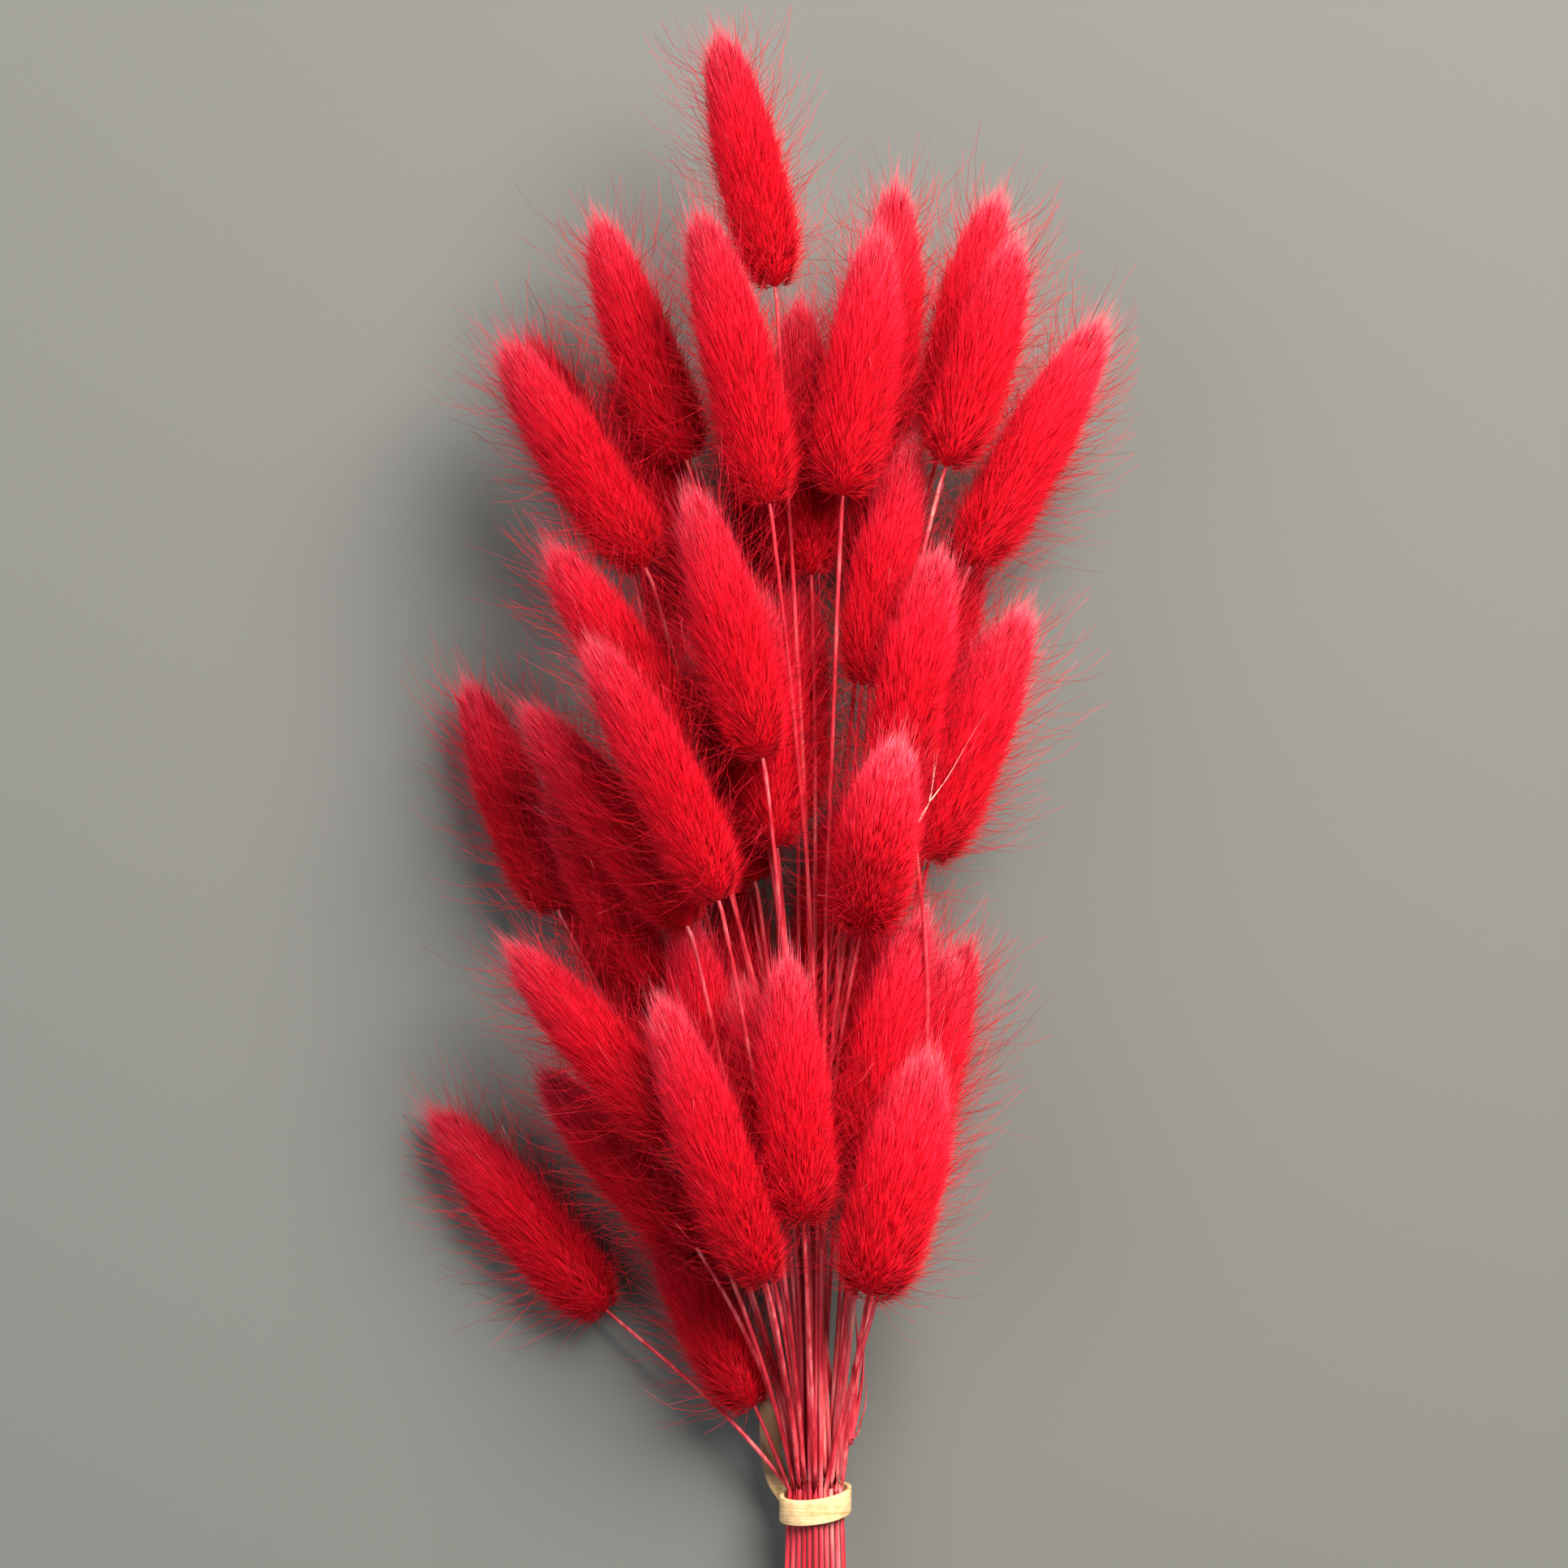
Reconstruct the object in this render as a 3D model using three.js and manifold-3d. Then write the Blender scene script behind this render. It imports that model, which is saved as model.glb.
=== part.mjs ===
import * as THREE from 'three';
import { mergeVertices } from 'three/addons/utils/BufferGeometryUtils.js';
import Module from 'manifold-3d';

// A rubber-banded bundle of dyed bunny tail grass, lying on its side. Units are millimetres.
// The stalks run along +Y with their cut ends at -Y, +X is the right-hand side and +Z is up.
// Every stalk grew in one piece with its furry head, so each one is a single closed body.

// ---- Driving dimensions ----
const BUNCH_LENGTH = 450; // cut ends to the highest tip
const BAND_LEVEL = 107; // cut ends to the middle of the rubber band
const HEAD_DIAMETER = 17; // the dense body of a common head, inside its long awns
const STEM_DIAMETER = 1.25; // at the band
const NECK_DIAMETER = 0.95; // where the stem enters the head
const STEM_GAP = 0.2; // between stems where the band holds them
const BAND_WIDTH = 6;
const BAND_THICKNESS = 1;
const BAND_FIT = 0.3; // between the outermost stems and the rubber
const BAND_TILT = 0.13; // the band climbs to the right by this share of its width
const BAND_SAG = 0.2; // and its upper side slips towards the cut ends by this share of its depth
const BAND_OVAL = 1.5; // the held stems lie this much wider than they are deep
const CUT_SPREAD = 1.6; // the stems open out again below the band
const AXIS_RISE = 0.08; // the bunch climbs away from its cut ends onto its own lower heads
const FREE_GAP = 0.4; // between a head and its neighbours
const CROSSING_GAP = 0.15; // between stems above the band, at least
const PRESS = 0.3; // how far a resting head is flattened by the table

// ---- The tails, tier by tier ----
// side: head base to the right of the bunch's axis; drop: head base below the highest tip;
// height: head base above the table; lean: degrees to the right; rise: degrees up;
// length: of the head; girth: share of the common diameter.
const TAILS = [
  // top tier, on the upper side of the bunch
  { side: -9, drop: 57, height: 50, lean: -13, rise: 3, length: 58, girth: 1.0 },
  { side: -30, drop: 97, height: 38, lean: -21, rise: 4, length: 58, girth: 1.0 },
  { side: -11, drop: 108, height: 58, lean: -13, rise: 4, length: 67, girth: 1.05 },
  { side: -1, drop: 124, height: 38, lean: -3, rise: 3, length: 62, girth: 1.0 },
  { side: 6, drop: 106, height: 58, lean: 8, rise: 4, length: 59, girth: 1.08 },
  { side: 15, drop: 93, height: 40, lean: 4, rise: 3, length: 58, girth: 0.95 },
  { side: 29, drop: 95, height: 37, lean: 12, rise: 4, length: 59, girth: 1.0 },
  { side: 30, drop: 99, height: 55, lean: 18, rise: 5, length: 52, girth: 0.95 },
  { side: 36, drop: 122, height: 44, lean: 28, rise: 4, length: 62, girth: 1.0 },
  { side: -39, drop: 122, height: 44, lean: -33, rise: 3, length: 60, girth: 1.05 },
  { side: -24, drop: 128, height: 26, lean: -25, rise: 3, length: 54, girth: 1.0 },
  // middle tier, on the upper side
  { side: 11, drop: 150, height: 46, lean: 11, rise: 4, length: 56, girth: 0.85 },
  { side: -12, drop: 167, height: 61, lean: -15, rise: 5, length: 62, girth: 1.0 },
  { side: -9, drop: 188, height: 43, lean: -5, rise: 3, length: 58, girth: 0.95 },
  { side: -31, drop: 162, height: 48, lean: -35, rise: 8, length: 52, girth: 0.95 },
  { side: -22, drop: 200, height: 60, lean: -26, rise: 5, length: 65, girth: 1.02 },
  { side: -60, drop: 203, height: 12, lean: -23, rise: 1, length: 56, girth: 0.95 },
  { side: -37, drop: 222, height: 26, lean: -27, rise: 2, length: 54, girth: 0.95 },
  { side: -29, drop: 206, height: 40, lean: -37, rise: 3, length: 62, girth: 1.0 },
  { side: 18, drop: 175, height: 58, lean: 11, rise: 4, length: 54, girth: 1.0 },
  { side: 12, drop: 205, height: 38, lean: 10, rise: 42, length: 55, girth: 1.22 },
  { side: 26, drop: 191, height: 42, lean: 21, rise: 5, length: 61, girth: 1.02 },
  { side: -4, drop: 181, height: 27, lean: 0, rise: 3, length: 56, girth: 0.95 },
  { side: -14, drop: 196, height: 27, lean: -15, rise: 2, length: 54, girth: 0.95 },
  // lower tier, on the upper side
  { side: 11, drop: 263, height: 36, lean: 13, rise: 6, length: 59, girth: 0.98 },
  { side: 17, drop: 268, height: 20, lean: 14, rise: 6, length: 55, girth: 0.95 },
  { side: 12, drop: 293, height: 42, lean: 14, rise: 14, length: 58, girth: 1.35 },
  { side: -3, drop: 276, height: 46, lean: -4, rise: 9, length: 61, girth: 1.02 },
  { side: -33, drop: 257, height: 38, lean: -39, rise: 6, length: 58, girth: 0.98 },
  { side: -19, drop: 257, height: 28, lean: -14, rise: 4, length: 54, girth: 0.95 },
  { side: -11, drop: 290, height: 46, lean: -21, rise: 8, length: 70, girth: 1.05 },
  { side: -29, drop: 284, height: 18, lean: -39, rise: 1, length: 54, girth: 0.95 },
  { side: -11, drop: 276, height: 30, lean: -8, rise: 5, length: 54, girth: 0.95 },
  { side: 9, drop: 257, height: 24, lean: 7, rise: 5, length: 54, girth: 0.95 },
  // underneath, against the table
  { side: -10, drop: 128, height: 7, lean: -6, rise: 0, length: 57, girth: 1.0 },
  { side: 14, drop: 129, height: 7, lean: 5, rise: 0, length: 58, girth: 1.0 },
  { side: 37, drop: 118, height: 20, lean: 30, rise: 1, length: 52, girth: 0.95 },
  { side: -43, drop: 114, height: 7, lean: -29, rise: 0, length: 52, girth: 0.95 },
  { side: 22, drop: 168, height: 7, lean: 16, rise: 0, length: 56, girth: 1.0 },
  { side: -22, drop: 172, height: 7, lean: -18, rise: 0, length: 57, girth: 1.0 },
  { side: 4, drop: 232, height: 7, lean: 2, rise: 0, length: 54, girth: 0.95 },
  { side: 25, drop: 190, height: 20, lean: 18, rise: 2, length: 54, girth: 0.95 },
  { side: 20, drop: 264, height: 7, lean: 17, rise: 0, length: 54, girth: 0.95 },
  { side: -11, drop: 250, height: 7, lean: -8, rise: 0, length: 55, girth: 0.95 },
  { side: -36, drop: 236, height: 7, lean: -30, rise: 0, length: 54, girth: 0.95 },
  { side: 5, drop: 269, height: 7, lean: 3, rise: 0, length: 54, girth: 0.95 },
  // the two lowest tails, on the left
  { side: -50, drop: 299, height: 8, lean: -40, rise: 0, length: 61, girth: 1.1 },
  { side: -14, drop: 321, height: 16, lean: -26, rise: 0, length: 52, girth: 1.0 },
];

// The outline of a head, as shares of its length and of its half diameter: a blunt base,
// the widest part under the middle and a soft point.
const HEAD_OUTLINE = [
  { along: 0.05, out: 0.6 },
  { along: 0.16, out: 0.9 },
  { along: 0.36, out: 1 },
  { along: 0.6, out: 0.97 },
  { along: 0.8, out: 0.76 },
  { along: 0.93, out: 0.42 },
  { along: 1, out: 0 },
];
const HEAD_CURL = 7; // degrees that a head bends along its length, at most
const CURL_PHASE = 2.4; // radians from one tail's bend to the next one's

// ---- The rubber band's slack loop, a hairpin behind the stems on the left ----
const LOOP_LENGTH = 24; // from the middle of the band to the end of the hairpin
const LOOP_WIDTH = 5;
const LOOP_GAP = 1.2; // between its two runs
const LOOP_SIDE = -10.6; // middle of the hairpin
const LOOP_DROP = 4.4; // its upper run below the middle of the band

// ---- The dried leaf sheath beside the stems on the right ----
const SHEATH_LENGTH = 34;
const SHEATH_WIDTH = 3.2;
const SHEATH_THICKNESS = 0.5;
const SHEATH_SIDE = 9.6; // middle of its foot
const SHEATH_FOOT = 14; // its foot above the middle of the band

// ---- The broken awn, lying on two heads in the middle tier ----
const AWN_DIAMETER = 0.8;
const AWN_DROP = 181; // its foot below the highest tip
const AWN_FOOT = { side: 24, height: 55 };

// ---- Faceting and settling ----
const SIDES = 8; // of each stalk
const FIRST_STEP = 20; // between the first two bends of a stem above the band
const STEP_GROWTH = 1.1; // each later step is this much longer
const LAST_STEP = 0.4; // the step that ends at the head is at least this share of a full one
const SETTLE_ROUNDS = 700;
const GROWING_SHARE = 0.5; // of the rounds, in which the heads swell to full girth
const ANCHORED_SHARE = 0.75; // of the rounds, in which the heads are drawn to their places
const FIRST_GIRTH = 0.2; // of a head, as the settling begins
const HEAD_GIVE = 0.4; // how readily a head moves, where a stem's bend moves by 1
const HOME_PULL = 0.15; // of the way back to its place, each round
const HEIGHT_PULL = 0.4; // of that pull, upwards and downwards
const STEM_SPRING = [0.05, 0.35]; // how strongly a bend straightens: at the end and at the start
const HEAD_STIFFNESS = 0.9;
const LONGEST_PUSH = 1; // one contact's push in one round
const LEAST_GIVE = 0.05; // contacts this close to the band are left to the packing there
const NEIGHBOUR_ROUNDS = 10; // between two searches for neighbours
const NEIGHBOUR_REACH = 6;

const COLOURS = { tail: 0xd80a2a, rubber: 0xe2c088, sheath: 0xb0182c, awn: 0xf0a0a0 };

const radians = THREE.MathUtils.degToRad;
const upward = new THREE.Vector3(0, 0, 1);
const rightward = new THREE.Vector3(1, 0, 0);
const stemRadius = STEM_DIAMETER / 2;
const neckRadius = NECK_DIAMETER / 2;
const bandFloor = BAND_LEVEL - BAND_WIDTH / 2 - BAND_FIT;
const bandTop = BAND_LEVEL + BAND_WIDTH / 2 + BAND_FIT;
const facetReach = Math.cos(Math.PI / SIDES);

// ---- Where the band holds the stems ----

// The held stems lie in a honeycomb, the nearest places to the middle of an oval.
function packStems(count) {
  const pitch = STEM_DIAMETER + STEM_GAP;
  const columnPitch = pitch * Math.sin(Math.PI / 3);
  const reach = Math.ceil(Math.sqrt(count) * BAND_OVAL);
  const places = [];
  for (let column = -reach; column <= reach; column += 1) {
    const stagger = column % 2 === 0 ? 0 : pitch / 2;
    for (let row = -reach; row <= reach; row += 1) {
      const across = column * columnPitch;
      const up = row * pitch + stagger;
      places.push({ column, across, up, reach: Math.hypot(across / BAND_OVAL, up) });
    }
  }
  places.sort((a, b) => a.reach - b.reach || a.across - b.across);
  return places.slice(0, count);
}

const places = packStems(TAILS.length);
const heldDepth = Math.max(...places.map((place) => place.reach));
const heldWidth = heldDepth * BAND_OVAL;
const innerHalfDepth = heldDepth + stemRadius + BAND_FIT;
const innerHalfWidth = heldWidth + stemRadius + BAND_FIT;
const axisStart = heldDepth * CUT_SPREAD + stemRadius;
const bandHeight = axisStart + AXIS_RISE * BAND_LEVEL;

// The middle of the bunch's axis at a level above the cut ends.
function axisAt(level) {
  return new THREE.Vector3(0, level, axisStart + AXIS_RISE * level);
}

// Stems that fan out further to one side are held further to that side, so none cross.
function assignPlaces(tails) {
  const spread = (tail) => tail.side / (BUNCH_LENGTH - tail.drop - BAND_LEVEL);
  const climb = (tail) => (tail.height - bandHeight) / (BUNCH_LENGTH - tail.drop - BAND_LEVEL);
  const byColumn = [...places].sort((a, b) => a.column - b.column || a.up - b.up);
  const bySpread = [...tails].sort((a, b) => spread(a) - spread(b));
  const held = new Map();
  for (const column of new Set(byColumn.map((place) => place.column))) {
    const spots = byColumn.filter((place) => place.column === column);
    const stems = bySpread.splice(0, spots.length).sort((a, b) => climb(a) - climb(b));
    stems.forEach((stem, index) => held.set(stem, spots[index]));
  }
  return held;
}

// ---- A stalk's centreline, from its cut end to the tip of its head ----

function directionOf(lean, rise) {
  const flat = Math.cos(radians(rise));
  return new THREE.Vector3(
    Math.sin(radians(lean)) * flat,
    Math.cos(radians(lean)) * flat,
    Math.sin(radians(rise)),
  );
}

function heldPoint(place, level, spread) {
  return axisAt(level).add(new THREE.Vector3(place.across * spread, 0, place.up * spread));
}

function stemPath(tail, start, base) {
  const reach = start.distanceTo(base) / 3;
  const leaving = new THREE.Vector3(0, reach, reach * AXIS_RISE).add(start);
  const arriving = directionOf(tail.lean, tail.rise).multiplyScalar(-reach).add(base);
  return new THREE.CubicBezierCurve3(start, leaving, arriving, base);
}

function layStalk(tail, place, index) {
  const cut = heldPoint(place, 0, CUT_SPREAD);
  const below = heldPoint(place, bandFloor, 1);
  const above = heldPoint(place, bandTop, 1);
  const points = [cut, below, above];
  const heldPoints = points.length;
  const base = new THREE.Vector3(tail.side, BUNCH_LENGTH - tail.drop, tail.height);
  const path = stemPath(tail, above, base);
  const length = path.getLength();
  let step = FIRST_STEP;
  for (let along = step; along < length - step * LAST_STEP; along += step) {
    points.push(path.getPointAt(along / length));
    step *= STEP_GROWTH;
  }
  const radii = points.map((point, k) => {
    return THREE.MathUtils.lerp(stemRadius, neckRadius, k / (points.length + 1));
  });
  points.push(base);
  radii.push(neckRadius);
  const headStart = points.length - 1;
  const curl = HEAD_CURL * Math.sin(index * CURL_PHASE);
  const head = base.clone();
  let last = 0;
  for (const { along, out } of HEAD_OUTLINE) {
    const direction = directionOf(tail.lean + curl * (along - 0.5), tail.rise);
    head.addScaledVector(direction, (along - last) * tail.length);
    last = along;
    points.push(head.clone());
    radii.push((out * tail.girth * HEAD_DIAMETER) / 2);
  }
  const weights = points.map((point, k) => (k < heldPoints ? 0 : k < headStart ? 1 : HEAD_GIVE));
  const homes = points.map((point) => point.clone());
  return { tail, points, radii, weights, homes, headStart };
}

// ---- Settling: heads stay rigid, stems bend, and all push each other apart until none touch ----

function segmentsOf(stalks) {
  const segments = [];
  stalks.forEach((stalk, owner) => {
    for (let k = 0; k + 1 < stalk.points.length; k += 1) {
      segments.push({ stalk, owner, k });
    }
  });
  return segments;
}

function nearPairs(segments) {
  for (const segment of segments) {
    const { points, radii } = segment.stalk;
    const [a, b] = [points[segment.k], points[segment.k + 1]];
    segment.middle = a.clone().add(b).multiplyScalar(0.5);
    segment.reach = a.distanceTo(b) / 2 + Math.max(radii[segment.k], radii[segment.k + 1]);
  }
  const pairs = [];
  segments.forEach((one, index) => {
    for (const other of segments.slice(index + 1)) {
      const reach = one.reach + other.reach + NEIGHBOUR_REACH;
      if (one.owner !== other.owner && one.middle.distanceToSquared(other.middle) < reach * reach) {
        pairs.push([one, other]);
      }
    }
  });
  return pairs;
}

// The shares along two segments at which they come nearest to each other.
function nearestShares(p, pEnd, q, qEnd) {
  const d1 = pEnd.clone().sub(p);
  const d2 = qEnd.clone().sub(q);
  const r = p.clone().sub(q);
  const a = d1.lengthSq();
  const e = d2.lengthSq();
  const b = d1.dot(d2);
  const c = d1.dot(r);
  const f = d2.dot(r);
  const spread = a * e - b * b;
  const clamp = THREE.MathUtils.clamp;
  let s = spread > 1e-9 ? clamp((b * f - c * e) / spread, 0, 1) : 0.5;
  const t = clamp((b * s + f) / e, 0, 1);
  s = clamp((b * t - c) / a, 0, 1);
  return [s, t];
}

function pushApart([one, other], growth) {
  const [P, Q] = [one.stalk, other.stalk];
  const ends = [P.points[one.k], P.points[one.k + 1], Q.points[other.k], Q.points[other.k + 1]];
  const [s, t] = nearestShares(...ends);
  const shares = [1 - s, s, 1 - t, t];
  const weights = [P.weights[one.k], P.weights[one.k + 1], Q.weights[other.k], Q.weights[other.k + 1]];
  const apart = ends[0].clone().lerp(ends[1], s).sub(ends[2].clone().lerp(ends[3], t));
  const girth = (stalk, k, share) => {
    const radius = THREE.MathUtils.lerp(stalk.radii[k], stalk.radii[k + 1], share);
    return k >= stalk.headStart ? radius * growth : radius;
  };
  const headed = one.k >= P.headStart || other.k >= Q.headStart;
  const gap = headed ? FREE_GAP : CROSSING_GAP;
  const wanted = girth(P, one.k, s) + girth(Q, other.k, t) + gap;
  const distance = apart.length();
  if (distance >= wanted) {
    return;
  }
  let give = 0;
  shares.forEach((share, index) => {
    give += share * share * weights[index];
  });
  if (give < LEAST_GIVE) {
    return;
  }
  const push = apart.setLength(Math.min(wanted - distance, LONGEST_PUSH) / give);
  ends.forEach((end, index) => {
    end.addScaledVector(push, (index < 2 ? 1 : -1) * shares[index] * weights[index]);
  });
}

function keepDistance(stalk, i, j, length, stiffness) {
  const [a, b] = [stalk.points[i], stalk.points[j]];
  const give = stalk.weights[i] + stalk.weights[j];
  if (give === 0) {
    return;
  }
  const along = b.clone().sub(a);
  const change = ((along.length() - length) / along.length() / give) * stiffness;
  a.addScaledVector(along, change * stalk.weights[i]);
  b.addScaledVector(along, -change * stalk.weights[j]);
}

// A head is stiff: every two of its rings keep their distance.
function headLengths(stalk) {
  const lengths = [];
  const { points, headStart } = stalk;
  for (let i = headStart; i + 1 < points.length; i += 1) {
    for (let j = i + 1; j < points.length; j += 1) {
      lengths.push([i, j, points[i].distanceTo(points[j])]);
    }
  }
  return lengths;
}

// A stem is springy: each of its bends is drawn towards the line between its neighbours.
function straighten(stalk, stiffness) {
  const { points, weights, headStart } = stalk;
  for (let k = 1; k <= headStart; k += 1) {
    const share = (points[k].y - points[k - 1].y) / (points[k + 1].y - points[k - 1].y);
    const wanted = points[k - 1].clone().lerp(points[k + 1], share);
    const offset = wanted.sub(points[k]).multiplyScalar(stiffness);
    points[k].addScaledVector(offset, weights[k]);
    points[k + 1].addScaledVector(offset, -0.5 * weights[k + 1]);
    points[k - 1].addScaledVector(offset, -0.5 * weights[k - 1]);
  }
}

// Each bend of a stem stays at its own level along the bunch.
function keepLevels(stalk) {
  for (let k = 0; k < stalk.headStart; k += 1) {
    stalk.points[k].y = stalk.homes[k].y;
  }
}

function holdUp(stalk) {
  stalk.points.forEach((point, k) => {
    const lowest = stalk.radii[k] * facetReach - (k > stalk.headStart ? PRESS : 0);
    point.z = Math.max(point.z, stalk.weights[k] > 0 ? lowest : point.z);
  });
}

function settle(stalks, obstacles) {
  const segments = segmentsOf([...stalks, ...obstacles]);
  const lengths = stalks.map(headLengths);
  let pairs = [];
  for (let round = 0; round < SETTLE_ROUNDS; round += 1) {
    const grown = Math.min(1, round / (SETTLE_ROUNDS * GROWING_SHARE));
    const growth = THREE.MathUtils.lerp(FIRST_GIRTH, 1, grown);
    const anchored = Math.max(0, 1 - round / (SETTLE_ROUNDS * ANCHORED_SHARE));
    if (round % NEIGHBOUR_ROUNDS === 0) {
      pairs = nearPairs(segments);
    }
    stalks.forEach((stalk, index) => {
      for (let k = stalk.headStart; k < stalk.points.length; k += 1) {
        const pull = stalk.homes[k].clone().sub(stalk.points[k]).multiplyScalar(HOME_PULL * anchored);
        pull.z *= HEIGHT_PULL;
        stalk.points[k].add(pull);
      }
      straighten(stalk, THREE.MathUtils.lerp(...STEM_SPRING, anchored));
      for (const [i, j, length] of lengths[index]) {
        keepDistance(stalk, i, j, length, HEAD_STIFFNESS);
      }
    });
    for (const pair of pairs) {
      pushApart(pair, growth);
    }
    stalks.forEach(keepLevels);
    stalks.forEach(holdUp);
  }
}

// ---- A stalk's solid: a turned outline, bent along the centreline ----

function stalkGeometry({ points, radii }) {
  const outline = [new THREE.Vector2(0, 0)];
  points.slice(0, -1).forEach((point, ring) => outline.push(new THREE.Vector2(radii[ring], ring)));
  outline.push(new THREE.Vector2(0, points.length - 1));
  const geometry = new THREE.LatheGeometry(outline, SIDES, Math.PI / SIDES);
  const frames = points.map((point, k) => {
    const next = points[Math.min(k + 1, points.length - 1)];
    const last = points[Math.max(k - 1, 0)];
    const along = next.clone().sub(last).normalize();
    const right = along.clone().cross(upward).normalize();
    const up = right.clone().cross(along);
    return { right, up };
  });
  const position = geometry.getAttribute('position');
  for (let index = 0; index < position.count; index += 1) {
    const ring = Math.max(0, (index % outline.length) - 1);
    const place = points[Math.min(ring, points.length - 1)].clone();
    place.addScaledVector(frames[ring].right, position.getX(index));
    place.addScaledVector(frames[ring].up, position.getZ(index));
    position.setXYZ(index, place.x, place.y, Math.max(0, place.z));
  }
  return geometry;
}

// ---- Joining solids ----

const wasm = await Module();
wasm.setup();

function solidOf(geometry) {
  const bare = geometry.clone();
  bare.deleteAttribute('normal');
  bare.deleteAttribute('uv');
  const merged = mergeVertices(bare, 1e-4);
  const vertProperties = new Float32Array(merged.getAttribute('position').array);
  const triVerts = new Uint32Array(merged.index.array);
  return new wasm.Manifold(new wasm.Mesh({ numProp: 3, vertProperties, triVerts }));
}

function geometryOf(solid) {
  const mesh = solid.getMesh();
  const geometry = new THREE.BufferGeometry();
  geometry.setAttribute('position', new THREE.BufferAttribute(mesh.vertProperties, 3));
  geometry.setIndex(new THREE.BufferAttribute(mesh.triVerts, 1));
  geometry.computeVertexNormals();
  return geometry;
}

// ---- Flat strips that follow a curve ----

// The middle of the strip follows the curve, and its width stays towards `across`.
function stripAlong(curve, width, thickness, steps, across) {
  const geometry = new THREE.BoxGeometry(1, thickness, 1, 1, 1, steps);
  const position = geometry.getAttribute('position');
  for (let index = 0; index < position.count; index += 1) {
    const share = position.getZ(index) + 0.5;
    const along = curve.getTangentAt(share);
    const side = across.clone().addScaledVector(along, -across.dot(along)).normalize();
    const face = along.clone().cross(side);
    const place = curve.getPointAt(share);
    place.addScaledVector(side, position.getX(index) * width(share));
    place.addScaledVector(face, position.getY(index));
    position.setXYZ(index, place.x, place.y, place.z);
  }
  return geometry;
}

// ---- The rubber band ----

// A strip of rubber running once round the held stems, its width along +Y.
function rubberRing() {
  const ring = new THREE.Shape();
  const outside = [innerHalfWidth + BAND_THICKNESS, innerHalfDepth + BAND_THICKNESS];
  ring.absellipse(0, 0, ...outside, 0, Math.PI * 2);
  const hole = new THREE.Path();
  hole.absellipse(0, 0, innerHalfWidth, innerHalfDepth, 0, Math.PI * 2);
  ring.holes.push(hole);
  const geometry = new THREE.ExtrudeGeometry(ring, {
    depth: BAND_WIDTH,
    curveSegments: 28,
    bevelEnabled: false,
  });
  geometry.translate(0, 0, -BAND_WIDTH / 2);
  geometry.rotateX(-Math.PI / 2 + Math.atan(AXIS_RISE));
  geometry.applyMatrix4(new THREE.Matrix4().makeShear(BAND_TILT, 0, 0, 0, 0, -BAND_SAG));
  geometry.translate(0, BAND_LEVEL, bandHeight);
  return geometry;
}

// The slack turn leaves the ring under its left side, runs up beside the stems and comes back.
function loopCurve() {
  const upper = bandHeight - LOOP_DROP;
  const lower = upper - LOOP_GAP - BAND_THICKNESS;
  const turn = (upper - lower) / 2;
  const end = BAND_LEVEL + LOOP_LENGTH;
  const root = -innerHalfWidth * 0.75;
  const under = bandHeight - innerHalfDepth - BAND_THICKNESS / 2;
  const corners = [
    [root, BAND_LEVEL, under + 0.2],
    [LOOP_SIDE + 1.6, BAND_LEVEL + 6, upper - 0.3],
    [LOOP_SIDE, BAND_LEVEL + 12, upper],
    [LOOP_SIDE - 0.2, end - 3 * turn, upper],
    [LOOP_SIDE - 0.2, end - turn * 0.3, upper - turn * 0.3],
    [LOOP_SIDE - 0.2, end, upper - turn],
    [LOOP_SIDE - 0.2, end - turn * 0.3, lower + turn * 0.3],
    [LOOP_SIDE - 0.2, end - 3 * turn, lower],
    [LOOP_SIDE, BAND_LEVEL + 12, lower],
    [LOOP_SIDE + 1.6, BAND_LEVEL + 5, lower],
    [root * 0.8, BAND_LEVEL - 1, under],
  ];
  return new THREE.CatmullRomCurve3(corners.map((corner) => new THREE.Vector3(...corner)));
}

function bandGeometry() {
  const loop = stripAlong(loopCurve(), () => LOOP_WIDTH, BAND_THICKNESS, 40, rightward);
  return geometryOf(solidOf(rubberRing()).add(solidOf(loop)));
}

// ---- The dried leaf sheath ----

function sheathCurve() {
  const foot = axisAt(BAND_LEVEL + SHEATH_FOOT);
  const at = (side, share, climb) => {
    const place = [SHEATH_SIDE + side, foot.y + share * SHEATH_LENGTH, foot.z + climb];
    return new THREE.Vector3(...place);
  };
  const corners = [at(-0.6, 0, 0), at(0.4, 0.27, 1.2), at(1.5, 0.6, 2.6), at(1.9, 1, 3.4)];
  return new THREE.CatmullRomCurve3(corners);
}

// The sheath is widest under its middle and narrows to its foot and its top.
function sheathGeometry() {
  const curve = sheathCurve();
  const width = (share) => SHEATH_WIDTH * (0.3 + 0.7 * Math.sin(Math.PI * share ** 0.8));
  const across = new THREE.Vector3(1, 0, 0.25);
  return stripAlong(curve, width, SHEATH_THICKNESS, 14, across);
}

// ---- The broken awn ----

function awnCurves() {
  const foot = new THREE.Vector3(AWN_FOOT.side, BUNCH_LENGTH - AWN_DROP, AWN_FOOT.height);
  const at = (side, level, height) => foot.clone().add(new THREE.Vector3(side, level, height));
  const fork = at(4, 8, 1.5);
  return [
    new THREE.CatmullRomCurve3([foot, at(2.4, 4, 0.8), fork, at(9, 16, 2.2), at(15, 25, 1.5)]),
    new THREE.CatmullRomCurve3([fork, at(4.6, 11, 2.2), at(4, 15, 3.2)]),
  ];
}

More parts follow.
